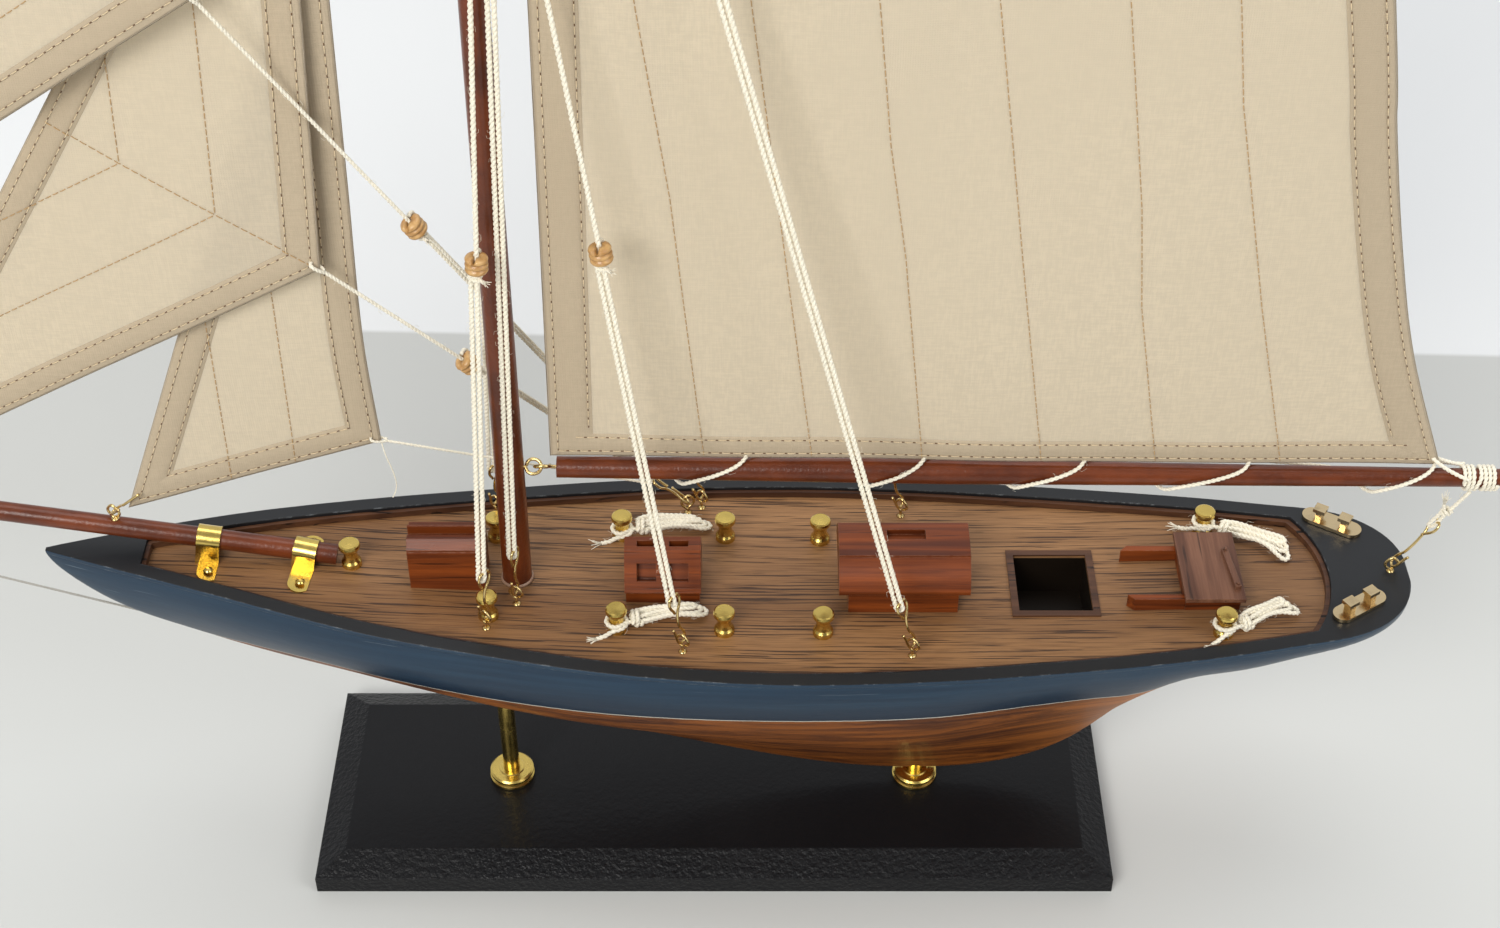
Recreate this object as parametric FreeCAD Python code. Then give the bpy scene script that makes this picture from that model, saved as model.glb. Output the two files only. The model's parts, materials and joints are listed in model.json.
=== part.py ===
"""Static display model of a gaff-rigged yacht on a wooden stand, in millimetres.

Frame: origin at the centre of the stand's underside, +X aft, +Y starboard, +Z up.
Every sub-part is a closed solid, or a group of closed solids, in its own STEP file.
"""
import FreeCAD, Part
import math
import os

Vector = FreeCAD.Vector

# ---------------------------------------------------------------- driving sizes
BASE_LENGTH = 202.6
BASE_WIDTH = 63.6
BASE_HEIGHT = 8.4
BASE_SIDE = 4.9            # height of the vertical edge below the bevel
BASE_BEVEL = 7.3           # bevel width in plan

POST_RADIUS = 2.1
POST_SOCKET = 4.0          # depth of the post's foot in the base
POST_PLACES = {"post_front": (-53.3, 43.0), "post_rear": (52.2, 19.0)}
COLLAR_RADIUS = 5.75
COLLAR_HEIGHT = 3.3
FIT = 0.05                 # radial clearance of a snug wooden or brass fit
TOUCH = 0.02               # gap between round parts that only rest on each other

# sheer line, seen from the side: (x, z) of the top of the rail
SHEER = [(-160, 91.0), (-122.9, 89.6), (-74.9, 85.5), (-42.9, 83.6), (-14.9, 82.4), (21.1, 81.6),
         (51.1, 81.5), (85, 81.6), (118.1, 82.2), (156.1, 83.4), (170, 83.9)]
# half width of the hull at the rail, before the stern is rounded: (x, half width)
BEAM = [(-160, 0.3), (-150, 3.7), (-122.9, 12.1), (-98, 19.2), (-74.9, 24.7), (-42.9, 30.2),
        (-14.9, 34.0), (21.1, 35.7), (51.1, 34.5), (85, 31.6), (118.1, 27.6), (145, 22.9), (170, 18.6)]
# underside of stem, keel and counter on the centre line: (x, z)
KEEL = [(-159.6, 90.0), (-157.9, 86.2), (-151.6, 79.2), (-146.1, 74.8), (-130.3, 66.2), (-107.9, 56.0),
        (-84.9, 47.2), (-58.9, 38.6), (-37.9, 32.2), (-13.5, 25.0), (11.1, 18.0), (26.1, 14.4),
        (41.1, 12.4), (56.1, 11.9), (71.1, 13.8), (86.1, 19.6), (96.1, 28.4), (102.1, 36.4),
        (107.5, 44.5), (113, 52.0), (129.1, 59.2), (146, 66.4), (164.1, 73.6), (170, 76.0)]
# fullness of the sections: (x, power of the upper turn, power of the lower hollow)
FULLNESS = [(-160, 1.7, 1.0), (-130, 2.0, 1.1), (-81, 2.45, 1.5), (-52, 2.65, 1.6), (-27, 2.5, 1.6),
            (16, 2.0, 1.6), (49, 1.9, 1.6), (73, 1.6, 1.6), (89, 1.5, 1.5), (100, 1.6, 1.3),
            (129, 1.9, 0.9), (170, 2.0, 0.8)]
STATIONS = [-159.3, -157.6, -154, -149, -141, -130, -115, -97, -76, -53, -30, -7, 16, 36, 55, 71, 83,
            92, 99, 106, 115, 127, 139, 149, 156.5, 161.5, 164.8, 166.7, 167.6]
STERN_ROUND_START = 146.0
STERN_END = 167.8
STERN_ROUND_POWER = 2.4
KEEL_HALF = 2.6            # half thickness of the keel

RAIL_THICK = 1.2           # black cap on top of the bulwark
RAIL_WIDTH = 3.8
DECK_DROP = 2.6            # deck surface below the rail's top
DECK_THICK = 0.8
LIP_WIDTH = 1.0
LIP_DROP = 0.9             # top of the lip strip below the rail's top
DECK_FRONT = -136.0
DECK_AFT_CORNER = 142.8
DECK_AFT_MIDDLE = 148.8
RAIL_BREAKS = [-165, -148, -132, -116, -100, -82, -62, -40, -16, 10, 36, 62, 90, 118, 136, 172]
DECK_BREAKS = [-165, -146, -127, -106, -80, -28, 16, 66, 97, 135, 150, 172]

HATCH = (73.6, 91.3, 9.5)  # open companion: fore edge, aft edge, half width
HATCH_DEPTH = 12.0
COAMING_WIDTH = 1.7
COAMING_RISE = 0.5

MAST_FOOT_X = -47.1
MAST_RAKE = 0.0131         # metres aft for each metre up
MAST_STEP = 8.0            # depth of the mast's heel below the deck
MAST_TOP = 440.0
HOUNDS_Z = 338.4           # where the lower rigging meets the mast
SHROUD_Z = 294.0           # where the fore shrouds meet the mast, below the gaff's jaw
TOPMAST_Z = 425.0          # where the upper rigging meets the mast

BOOM_START = (-35.6, 117.3)
BOOM_END = (190.0, 113.7)
GAFF_START = (-36.5, 300.0)
GAFF_END = (104.0, 412.0)
BOWSPRIT_HEEL = (-90.3, 87.05)
BOWSPRIT_TIP_X = -286.0
BOWSPRIT_SLOPE = -0.185
BOWSPRIT_Y = 2.0           # the spar lies a little to starboard of the stem
BOWSPRIT_RADIUS = 2.5

CLOTH = 0.8                # thickness of the plain solids that stand for the sails
STRING_R = 0.6
THIN_STRING_R = 0.45
WIRE_R = 0.35
RING_R = 1.3
EYE_RISE = 3.6             # screw eye's ring centre above the deck
LOW_EYE_RISE = 2.2         # the same for the short eyes on the bowsprit and the stern
HOOK_START = 1.5           # hook's lower loop centre beyond the eye's ring centre
HOOK_LENGTH = 10.3         # between the hook's two loop centres
STRAND_GAP = 1.3           # spacing of the two strands of a doubled line
BEAD_RADIUS = 2.5
BEAD_LENGTH = 4.2
BEAD_TRAVEL = 6.0
MAINSHEET_X = 163.5

os.makedirs("parts", exist_ok=True)


# ---------------------------------------------------------------- small helpers
def interpolate(table, x, column=1):
    """Smooth cubic through a table's points, without overshoot between them."""
    xs = [row[0] for row in table]
    ys = [row[column] for row in table]
    x = min(max(x, xs[0]), xs[-1])
    i = max(k for k in range(len(xs) - 1) if xs[k] <= x)
    steps = [(ys[k + 1] - ys[k]) / (xs[k + 1] - xs[k]) for k in range(len(xs) - 1)]

    def slope(k):
        if k == 0:
            return steps[0]
        if k == len(xs) - 1:
            return steps[-1]
        before = steps[k - 1]
        after = steps[k]
        if before * after <= 0:
            return 0.0
        return 2 * before * after / (before + after)

    width = xs[i + 1] - xs[i]
    t = (x - xs[i]) / width
    rise = ys[i + 1] - ys[i]
    a = slope(i) * width - rise
    b = rise - slope(i + 1) * width
    return ys[i] + t * rise + t * (1 - t) * (a * (1 - t) + b * t)


def save(name, *solids):
    """Write one node's solids to its STEP file."""
    shapes = []
    for solid in solids:
        shapes.extend(solid.Solids)
    shape = shapes[0] if len(shapes) == 1 else Part.makeCompound(shapes)
    if not shape.isValid():
        print("invalid shape:", name)
    shape.exportStep("parts/" + name + ".step")


def box(x0, x1, y0, y1, z0, z1):
    return Part.makeBox(x1 - x0, y1 - y0, z1 - z0, Vector(x0, y0, z0))


def rod(start, end, r0, r1=None):
    """Round bar between two points, tapered if r1 is given."""
    line = end - start
    if r1 is None or abs(r1 - r0) < 1e-6:
        return Part.makeCylinder(r0, line.Length, start, line)
    return Part.makeCone(r0, r1, line.Length, start, line)


def ring(center, axis, major=RING_R, minor=WIRE_R):
    return Part.makeTorus(major, minor, center, axis)


def turned(profile, place=Vector(0, 0, 0), direction=Vector(0, 0, 1)):
    """Revolve a closed (radius, height) outline about the local Z axis, then place it."""
    points = [Vector(r, 0, z) for r, z in profile]
    face = Part.Face(Part.makePolygon(points + [points[0]]))
    solid = face.revolve(Vector(0, 0, 0), Vector(0, 0, 1), 360)
    turn = FreeCAD.Rotation(Vector(0, 0, 1), direction)
    solid.Placement = FreeCAD.Placement(place, turn)
    return solid


def extrude_outline(points, direction):
    """Prism from a closed flat outline."""
    return Part.Face(Part.makePolygon(points + [points[0]])).extrude(direction)


def spline_edge(points):
    curve = Part.BSplineCurve()
    curve.interpolate(points)
    return curve.toShape()


# ---------------------------------------------------------------- hull shape
def sheer(x):
    return interpolate(SHEER, x)


def half_beam(x):
    width = interpolate(BEAM, x)
    if x > STERN_ROUND_START:
        share = min(1.0, (x - STERN_ROUND_START) / (STERN_END - STERN_ROUND_START))
        width *= (1 - share ** STERN_ROUND_POWER) ** (1 / STERN_ROUND_POWER)
    return width


def station_wire(x):
    """Closed section at one station: skin from port to starboard, then straight across."""
    top = sheer(x)
    depth = top - interpolate(KEEL, x)
    wide = half_beam(x)
    keel = min(KEEL_HALF, 0.4 * wide)
    upper = interpolate(FULLNESS, x, 1)
    lower = interpolate(FULLNESS, x, 2)
    side = [(wide, top + 5.0)]
    for s in (0.0, 0.09, 0.19, 0.3, 0.42, 0.54, 0.66, 0.77, 0.86, 0.93, 0.98):
        y = (wide - keel) * (1 - s ** upper) ** lower + keel * math.sqrt(1 - s ** 14)
        side.append((y, top - s * depth))
    points = [Vector(x, -y, z) for y, z in side]
    points.append(Vector(x, 0, top - depth))
    points.extend(Vector(x, y, z) for y, z in reversed(side))
    skin = spline_edge(points)
    return Part.Wire([skin, Part.makeLine(points[-1], points[0])])


def above(breaks, drop):
    """Everything above a faceted surface that lies a set drop below the sheer."""
    line = [Vector(x, -60, sheer(x) - drop) for x in breaks]
    outline = line + [Vector(breaks[-1], -60, 130), Vector(breaks[0], -60, 130)]
    return extrude_outline(outline, Vector(0, 120, 0))


def above_sheer():
    xs = [-165, -150, -135, -115, -95, -75, -50, -25, 0, 25, 50, 75, 100, 120, 140, 156, 172]
    edge = spline_edge([Vector(x, -60, sheer(x)) for x in xs])
    corners = [Vector(172, -60, sheer(172)), Vector(172, -60, 130), Vector(-165, -60, 130),
               Vector(-165, -60, sheer(-165))]
    wire = Part.Wire([edge] + Part.makePolygon(corners).Edges)
    return Part.Face(wire).extrude(Vector(0, 120, 0))


def deck_outline(inset, slack=0.0):
    """Upright prism over the planked area, drawn in from the rail by an inset."""
    front = DECK_FRONT + slack
    corner = DECK_AFT_CORNER - slack
    middle = DECK_AFT_MIDDLE - slack
    xs = [front + (corner - front) * k / 16 for k in range(17)]
    port = [Vector(x, inset + slack - half_beam(x), 0) for x in xs]
    starboard = [Vector(v.x, -v.y, 0) for v in port]
    aft = Part.Arc(port[-1], Vector(middle, 0, 0), starboard[-1]).toShape()
    edges = [spline_edge(port), aft, spline_edge(starboard), Part.makeLine(starboard[0], port[0])]
    wire = Part.Wire(Part.sortEdges(edges)[0])
    return Part.Face(wire).extrude(Vector(0, 0, 130))


def deck_z(x):
    """Height of the faceted deck surface on any x."""
    for left, right in zip(DECK_BREAKS, DECK_BREAKS[1:]):
        if left <= x <= right:
            share = (x - left) / (right - left)
            return (1 - share) * sheer(left) + share * sheer(right) - DECK_DROP
    return 0.0


def mast_point(z, y=0.0):
    return Vector(MAST_FOOT_X + MAST_RAKE * (z - 80.4), y, z)


def bowsprit_point(x, off_axis=0.0):
    """Point on the bowsprit's axis, or square above it."""
    z = BOWSPRIT_HEEL[1] + BOWSPRIT_SLOPE * (x - BOWSPRIT_HEEL[0])
    return Vector(x, BOWSPRIT_Y, z + off_axis)


LOFT = Part.makeLoft([station_wire(x) for x in STATIONS], True, False)
ABOVE_SHEER = above_sheer()
ABOVE_RAIL_SEAT = above(RAIL_BREAKS, RAIL_THICK)
ABOVE_DECK = above(DECK_BREAKS, DECK_DROP)
ABOVE_DECK_SEAT = above(DECK_BREAKS, DECK_DROP + DECK_THICK)
WELL = deck_outline(RAIL_WIDTH)


def seat(solid):
    """Trim a fitting's overlong foot so that it stands flat on the deck."""
    return solid.common(ABOVE_DECK)


# ---------------------------------------------------------------- stand
def make_base():
    half_l = BASE_LENGTH / 2
    half_w = BASE_WIDTH / 2
    plinth = box(-half_l, half_l, -half_w, half_w, 0, BASE_SIDE)
    outlines = []
    for z, inset in ((BASE_SIDE, 0), (BASE_HEIGHT, BASE_BEVEL)):
        x = half_l - inset
        y = half_w - inset
        corners = [Vector(-x, -y, z), Vector(x, -y, z), Vector(x, y, z), Vector(-x, y, z)]
        outlines.append(Part.makePolygon(corners + [corners[0]]))
    base = plinth.fuse(Part.makeLoft(outlines, True, True)).removeSplitter()
    for x, _ in POST_PLACES.values():
        foot = Vector(x, 0, BASE_HEIGHT - POST_SOCKET)
        base = base.cut(Part.makeCylinder(POST_RADIUS + FIT, POST_SOCKET + 1, foot))
    save("display_base", base)


def make_posts():
    for name, (x, top) in POST_PLACES.items():
        foot = Vector(x, 0, BASE_HEIGHT - POST_SOCKET)
        save(name, Part.makeCylinder(POST_RADIUS, top - foot.z, foot))


def make_collars():
    bore = POST_RADIUS + FIT
    outer = COLLAR_RADIUS
    profile = [(bore, 0), (outer - 0.3, 0), (outer, 0.3), (outer, 1.0), (outer - 0.8, 1.4),
               (outer - 0.8, 1.8), (outer - 0.1, 2.1), (outer - 0.1, 2.6), (outer - 0.6, 3.0),
               (3.4, 3.1), (3.1, COLLAR_HEIGHT), (bore, COLLAR_HEIGHT)]
    collars = [turned(profile, Vector(x, 0, BASE_HEIGHT)) for x, _ in POST_PLACES.values()]
    save("post_collars", *collars)


# ---------------------------------------------------------------- hull, rail and deck
def make_hull():
    hull = LOFT.cut(ABOVE_RAIL_SEAT)
    hull = hull.cut(WELL.common(ABOVE_DECK_SEAT))
    fore, aft, half = HATCH
    floor = deck_z((fore + aft) / 2) - HATCH_DEPTH
    hull = hull.cut(box(fore, aft, -half, half, floor, 100))
    heel = mast_point(deck_z(MAST_FOOT_X) - MAST_STEP)
    hull = hull.cut(rod(heel, mast_point(100), 3.5 + FIT))
    for x, top in POST_PLACES.values():
        hull = hull.cut(Part.makeCylinder(POST_RADIUS + FIT, top + FIT, Vector(x, 0, 0)))
    save("hull", hull)


def make_rail_cap():
    cap = LOFT.common(ABOVE_RAIL_SEAT).cut(ABOVE_SHEER).cut(WELL)
    save("rail_cap", cap)


def make_deck():
    slab = deck_outline(RAIL_WIDTH, FIT).common(ABOVE_DECK_SEAT).cut(ABOVE_DECK)
    fore, aft, half = HATCH
    slab = slab.cut(box(fore, aft, -half, half, 0, 120))
    slab = slab.cut(rod(mast_point(60), mast_point(100), 3.5 + FIT))
    save("deck", slab)
    outer = deck_outline(RAIL_WIDTH, FIT)
    inner = deck_outline(RAIL_WIDTH + LIP_WIDTH, FIT)
    fore_trim = box(DECK_FRONT - 5, DECK_FRONT + LIP_WIDTH, -30, 30, 0, 130)
    aft_trim = inner.translated(Vector(-LIP_WIDTH, 0, 0))
    strip = outer.cut(inner.common(aft_trim).cut(fore_trim))
    strip = strip.common(ABOVE_DECK).cut(above(DECK_BREAKS, LIP_DROP))
    save("deck_lip", strip)


def make_hatch_coaming():
    fore, aft, half = HATCH
    w = COAMING_WIDTH
    z = deck_z((fore + aft) / 2)
    frame = box(fore - w, aft + w, -half - w, half + w, z - 2, z + COAMING_RISE)
    frame = seat(frame.cut(box(fore, aft, -half, half, 0, 120)))
    save("hatch_coaming", frame)


# ---------------------------------------------------------------- deck houses
def make_fore_skylight():
    z = deck_z(-64)
    x0 = -72.2
    x1 = -54.3
    side = [(-5.2, z - 2), (-4.9, z + 12.6), (-2.9, z + 14.6), (-1.6, z + 14.6), (-1.6, z + 13.6),
            (-0.2, z + 13.6), (-0.2, z + 16.2), (0.2, z + 16.2)]
    mirrored = [(-y, h) for y, h in reversed(side)]
    outline = [Vector(x0, y, h) for y, h in side + mirrored[1:]]
    body = extrude_outline(outline, Vector(x1 - x0, 0, 0))
    groove = box(x0 - 1, x1 + 1, -6, -4.7, z + 11.9, z + 12.4)
    save("fore_skylight", seat(body.cut(groove)))


def make_mid_skylight():
    z = deck_z(-12)
    x0 = -20.6
    x1 = -2.9
    eave = z + 3.5
    ridge = z + 12.9
    wall = 7.2
    flat = 2.3
    sides = box(x0, x1, -wall, wall, z - 2, eave)
    outline = [Vector(x0 - 0.3, -wall - 0.4, eave), Vector(x0 - 0.3, -flat, ridge),
               Vector(x0 - 0.3, flat, ridge), Vector(x0 - 0.3, wall + 0.4, eave)]
    roof = extrude_outline(outline, Vector(x1 - x0 + 0.6, 0, 0))
    body = sides.fuse(roof).removeSplitter()
    slope = Vector(0, wall + 0.4 - flat, ridge - eave)
    tilt = math.degrees(math.atan2(slope.z, slope.y))
    pane_width = 4.6
    for x in (x0 + 2.7, x1 - 2.7 - pane_width):
        body = body.cut(box(x, x + pane_width, -1.1, 0.9, ridge - 2.0, ridge + 1))
        for side in (-1, 1):
            pane = box(x, x + pane_width, 3.0, 7.4, -2.2, 1.0)
            pane.rotate(Vector(0, 0, 0), Vector(1, 0, 0), tilt)
            pane.translate(Vector(0, -wall - 0.4, eave))
            if side > 0:
                pane = pane.mirror(Vector(0, 0, 0), Vector(0, 1, 0))
            body = body.cut(pane)
    save("mid_skylight", seat(body))


def make_cabin():
    z = deck_z(45)
    eave = z + 7.2
    save("cabin_base", seat(box(32.6, 58.8, -9.6, 9.6, z - 2, eave)))
    x0 = 30.2
    x1 = 61.4
    shoulder = eave + 7.4
    points = [Vector(x0, -11, eave), Vector(x0, -11, eave + 1.0)]
    arc_near = Part.Arc(points[1], Vector(x0, -9.0, eave + 4.6), Vector(x0, -5.7, shoulder)).toShape()
    step = Vector(x0, -5.7, shoulder + 0.5)
    crown = Part.Arc(step, Vector(x0, 0, shoulder + 1.1), Vector(x0, 5.7, shoulder + 0.5)).toShape()
    arc_far = Part.Arc(Vector(x0, 5.7, shoulder), Vector(x0, 9.0, eave + 4.6),
                       Vector(x0, 11, eave + 1.0)).toShape()
    edges = [Part.makeLine(points[0], points[1]), arc_near,
             Part.makeLine(Vector(x0, -5.7, shoulder), step), crown,
             Part.makeLine(Vector(x0, 5.7, shoulder + 0.5), Vector(x0, 5.7, shoulder)), arc_far,
             Part.makeLine(Vector(x0, 11, eave + 1.0), Vector(x0, 11, eave)),
             Part.makeLine(Vector(x0, 11, eave), points[0])]
    roof = Part.Face(Part.Wire(edges)).extrude(Vector(x1 - x0, 0, 0))
    roof = roof.cut(box(41.8, 51.0, -0.6, 2.8, shoulder - 0.6, shoulder + 3))
    save("cabin_roof", roof)


def make_aft_box():
    z = deck_z(119)
    plate_bottom = z + 4.5
    plate_top = plate_bottom + 1.2
    x0 = 112.5
    x1 = 126.8
    save("aft_box", seat(box(x0 + 0.6, x1 - 0.6, -9.4, 9.4, z - 2, plate_bottom)))
    save("aft_box_top", box(x0, x1, -11.5, 11.5, plate_bottom, plate_top))
    rails = []
    for side in (-1, 1):
        near = side * 7.5
        far = side * 9.2
        top = z + 3.3
        outline = [Vector(99.4, near, z - 2), Vector(101.0, far, z - 2),
                   Vector(x0 + 0.6, far, z - 2), Vector(x0 + 0.6, near, z - 2)]
        rails.append(seat(extrude_outline(outline, Vector(0, 0, top - z + 2))))
    save("aft_box_rails", *rails)
    batten = box(-6.6, 6.6, -0.75, 0.75, 0, 1.1)
    pins = []
    for x in (-5.9, 5.9):
        hole = Vector(x, 0, 0.5)
        batten = batten.cut(Part.makeCylinder(0.45 + FIT, 3, hole))
        pins.append(Part.makeCylinder(0.45, 1.2, hole))
    for solid in [batten] + pins:
        solid.rotate(Vector(0, 0, 0), Vector(0, 0, 1), -83.5)
        solid.translate(Vector(124.6, -1.6, plate_top))
    save("aft_box_batten", batten, *pins)


# ---------------------------------------------------------------- brass fittings
BOLLARDS = [(-87.1, 2.0), (-53.0, -13.4), (-53.0, 13.6), (-22.4, -16.0), (-22.4, 15.8),
            (3.0, -16.2), (3.0, 15.8), (26.4, -16.4), (26.4, 15.4), (121.2, -17.2), (121.2, 17.9)]
BOLLARD_PROFILE = [(0, -1), (2.45, -1), (2.45, 0.7), (2.35, 1.3), (1.95, 1.9), (1.7, 2.7), (1.65, 3.5),
                   (1.75, 4.3), (2.0, 4.9), (2.35, 5.3), (2.55, 5.6), (2.6, 6.2), (2.45, 6.7),
                   (2.1, 6.95), (0, 7.1)]


def make_bollards():
    posts = []
    for x, y in BOLLARDS:
        posts.append(seat(turned(BOLLARD_PROFILE, Vector(x, y, deck_z(x)))))
    save("bollards", *posts)


def make_cleats():
    cleats = []
    for x, y, angle in ((152.4, 16.4, -33.0), (153.6, -12.3, 32.0)):
        half = 5.0
        plate = box(-half, half, -2.5, 2.5, 0, 1.0)
        for end in (-half, half):
            plate = plate.fuse(Part.makeCylinder(2.5, 1.0, Vector(end, 0, 0)))
        for lug in (-3.2, 3.2):
            stem = box(lug - 0.7, lug + 0.7, -1.2, 1.2, 0.9, 3.4)
            horn = box(lug - 1.5, lug + 1.5, -1.4, 1.4, 3.0, 4.0)
            plate = plate.fuse(stem).fuse(horn)
        plate = plate.removeSplitter()
        plate.rotate(Vector(0, 0, 0), Vector(0, 0, 1), angle)
        plate.rotate(Vector(0, 0, 0), Vector(0, 1, 0), -1.8)
        plate.translate(Vector(x, y, sheer(x) + 0.16))
        cleats.append(plate)
    save("stern_cleats", *cleats)


STRAP_NAILS = [(-120.2, -4.2), (-98.2, -6.3), (-97.0, 7.6)]


def make_straps():
    """Two brass straps that clip the bowsprit to the deck, with their nails."""
    pieces = []
    thick = 0.6
    inner = BOWSPRIT_RADIUS + TOUCH
    outer = inner + thick
    for x, near_foot, far_foot, skew in ((-120.2, 6.6, 2.0, 0.0), (-97.6, 8.6, 5.6, 6.0)):
        center = bowsprit_point(x)
        drop = center.z - deck_z(x)
        arch = Part.makeCylinder(outer, 5.5, Vector(-2.75, 0, 0), Vector(1, 0, 0))
        arch = arch.common(box(-3, 3, -outer, outer, 0, outer))
        legs = box(-2.75, 2.75, -outer, outer, -drop - 2, 0)
        feet = box(-2.75, 2.75, -inner - near_foot, inner + far_foot, -drop - 2, -drop + thick)
        strap = arch.fuse(legs).fuse(feet)
        strap = strap.cut(Part.makeCylinder(inner, 8, Vector(-4, 0, 0), Vector(1, 0, 0)))
        strap = strap.cut(box(-4, 4, -inner, inner, -drop - 3, 0)).removeSplitter()
        strap.rotate(Vector(0, 0, 0), Vector(0, 1, 0), math.degrees(math.atan(-BOWSPRIT_SLOPE)))
        strap.translate(center)
        reach_near = near_foot + inner - 2.75
        reach_far = far_foot + inner - 2.75
        plan = box(x - 2.75, x + 2.75, center.y - reach_near, center.y + reach_far, 60, 110)
        for reach in (-reach_near, reach_far):
            plan = plan.fuse(Part.makeCylinder(2.75, 50, Vector(x, center.y + reach, 60)))
        plan = plan.fuse(box(x - 4, x + 4, center.y - outer, center.y + outer, 60, 110))
        strap = strap.common(plan)
        strap.rotate(center, Vector(0, 0, 1), -skew)
        strap = seat(strap.cut(rod(bowsprit_point(x - 6), bowsprit_point(x + 6), inner)))
        pieces.extend(strap.Solids)
    save("bowsprit_straps", *(pieces + strap_nails()))


def strap_nails():
    heads = []
    for x, y in STRAP_NAILS:
        dome = Part.makeSphere(1.25).common(box(-2, 2, -2, 2, 0.5, 2))
        dome.translate(Vector(x, y, deck_z(x) + 0.62))
        heads.append(dome)
    return heads


def screw_eye(place, turn, rise=EYE_RISE):
    """Ring on a short stem that stands on a surface: the solid, the ring's centre and its axis."""
    center = place + Vector(0, 0, rise)
    axis = Vector(math.sin(math.radians(turn)), math.cos(math.radians(turn)), 0)
    stem = Part.makeCylinder(WIRE_R, rise - RING_R + 0.5, place - Vector(0, 0, 0.5))
    flange = Part.makeCylinder(0.8, 0.75, place - Vector(0, 0, 0.5))
    eye = seat(ring(center, axis).fuse(stem).fuse(flange))
    return eye, center, axis


def wire_hook(center, target, eye_axis, length=HOOK_LENGTH):
    """Shank with a loop at each end, from a screw eye's ring towards a target point.

    The lower loop lies square to the eye's ring, so the two are linked.
    Returns the hook and the point where the line starts.
    """
    line = (target - center).normalize()
    lower = center + line * HOOK_START
    upper = lower + line * length
    axis = line.cross(eye_axis).normalize()
    shank = rod(lower + line * RING_R, upper - line * RING_R, WIRE_R)
    hook = ring(lower, axis).fuse(shank).fuse(ring(upper, axis))
    return hook, upper + line * (RING_R + WIRE_R + 0.1)


def turn_across(center, target):
    """Turn of an eye's ring that puts the line to a target in the ring's plane."""
    line = target - center
    return math.degrees(math.atan2(-line.y, line.x))


# ---------------------------------------------------------------- spars
def make_mast():
    heel = mast_point(deck_z(MAST_FOOT_X) - MAST_STEP + TOUCH)
    shoulder = mast_point(HOUNDS_Z)
    top = mast_point(MAST_TOP - 3)
    lower = rod(heel, mast_point(100), 3.5)
    middle = rod(mast_point(100), shoulder, 3.5, 2.8)
    upper = rod(shoulder, top, 2.8, 1.9)
    truck = Part.makeSphere(2.6, top + Vector(0, 0, 0.6))
    save("mast", lower.fuse([middle, upper, truck]))


def make_boom():
    start = Vector(BOOM_START[0], 0, BOOM_START[1])
    end = Vector(BOOM_END[0], 0, BOOM_END[1])
    middle = start + (end - start) * 0.4
    save("boom", rod(start, middle, 2.5, 3.0).fuse(rod(middle, end, 3.0, 2.1)))


def boom_z(x):
    share = (x - BOOM_START[0]) / (BOOM_END[0] - BOOM_START[0])
    return BOOM_START[1] + share * (BOOM_END[1] - BOOM_START[1])


def make_gaff():
    start = Vector(GAFF_START[0], 0, GAFF_START[1])
    end = Vector(GAFF_END[0], 0, GAFF_END[1])
    spar = rod(start, start + (end - start) * 0.4, 2.3, 2.6)
    spar = spar.fuse(rod(start + (end - start) * 0.4, end, 2.6, 1.7))
    mast = mast_point(start.z)
    z0 = start.z - 2.0
    jaw = box(mast.x - 2.0, start.x + 2.0, -4.2, 4.2, z0, z0 + 4.0)
    jaw = jaw.fuse(Part.makeCylinder(4.2, 4.0, Vector(mast.x - 2.0, 0, z0)))
    slot = Part.makeCylinder(3.5, 6.0, Vector(mast.x, 0, z0 - 1))
    slot = slot.fuse(box(mast.x - 12, mast.x, -3.5, 3.5, z0 - 1, z0 + 5))
    spar = spar.cut(Part.makeCylinder(3.5, 40, Vector(mast.x, 0, z0 - 20)))
    save("gaff", spar.fuse(jaw.cut(slot)))


def bowsprit_spar():
    heel = bowsprit_point(BOWSPRIT_HEEL[0])
    return rod(heel, bowsprit_point(BOWSPRIT_TIP_X), BOWSPRIT_RADIUS, 2.1)


def make_bowsprit():
    below = box(-100, -80, -5, 8, 80, deck_z(BOWSPRIT_HEEL[0]) + TOUCH)
    save("bowsprit", bowsprit_spar().cut(below))


# ---------------------------------------------------------------- sails
MAIN_CORNERS = [Vector(-36.7, 0, 120.9), Vector(168.2, 0, 118.3), Vector(156.0, 0, 150.8),
                Vector(148.1, 0, 179.5), Vector(141.2, 0, 209.9), Vector(135.2, 0, 240.3),
                Vector(99.8, 0, 403.4), Vector(-33.0, 0, 297.6), Vector(-34.2, 0, 240.0)]
STAYSAIL = [Vector(-137.4, 2.0, 102.9), Vector(-76.3, 4.0, 122.1), Vector(-72.5, 0.9, 269.7)]
JIB = [Vector(-199.2, 1.6, 111.8), Vector(-82.7, -3.0, 176.8), Vector(-74.2, -0.6, 311.3)]
FLYING_JIB = [Vector(-276.0, 1.6, 126.5), Vector(-97.2, -10.0, 246.6), Vector(-76.5, -1.0, 386.0)]


def make_flat_sail(name, corners):
    """Thin flat cloth through a list of corners that lie in one plane."""
    normal = (corners[1] - corners[0]).cross(corners[2] - corners[0]).normalize()
    start = [corner - normal * (CLOTH / 2) for corner in corners]
    save(name, extrude_outline(start, normal * CLOTH))


def make_sails():
    make_flat_sail("mainsail", MAIN_CORNERS)
    make_flat_sail("staysail", STAYSAIL)
    make_flat_sail("jib", JIB)
    make_flat_sail("flying_jib", FLYING_JIB)


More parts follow.
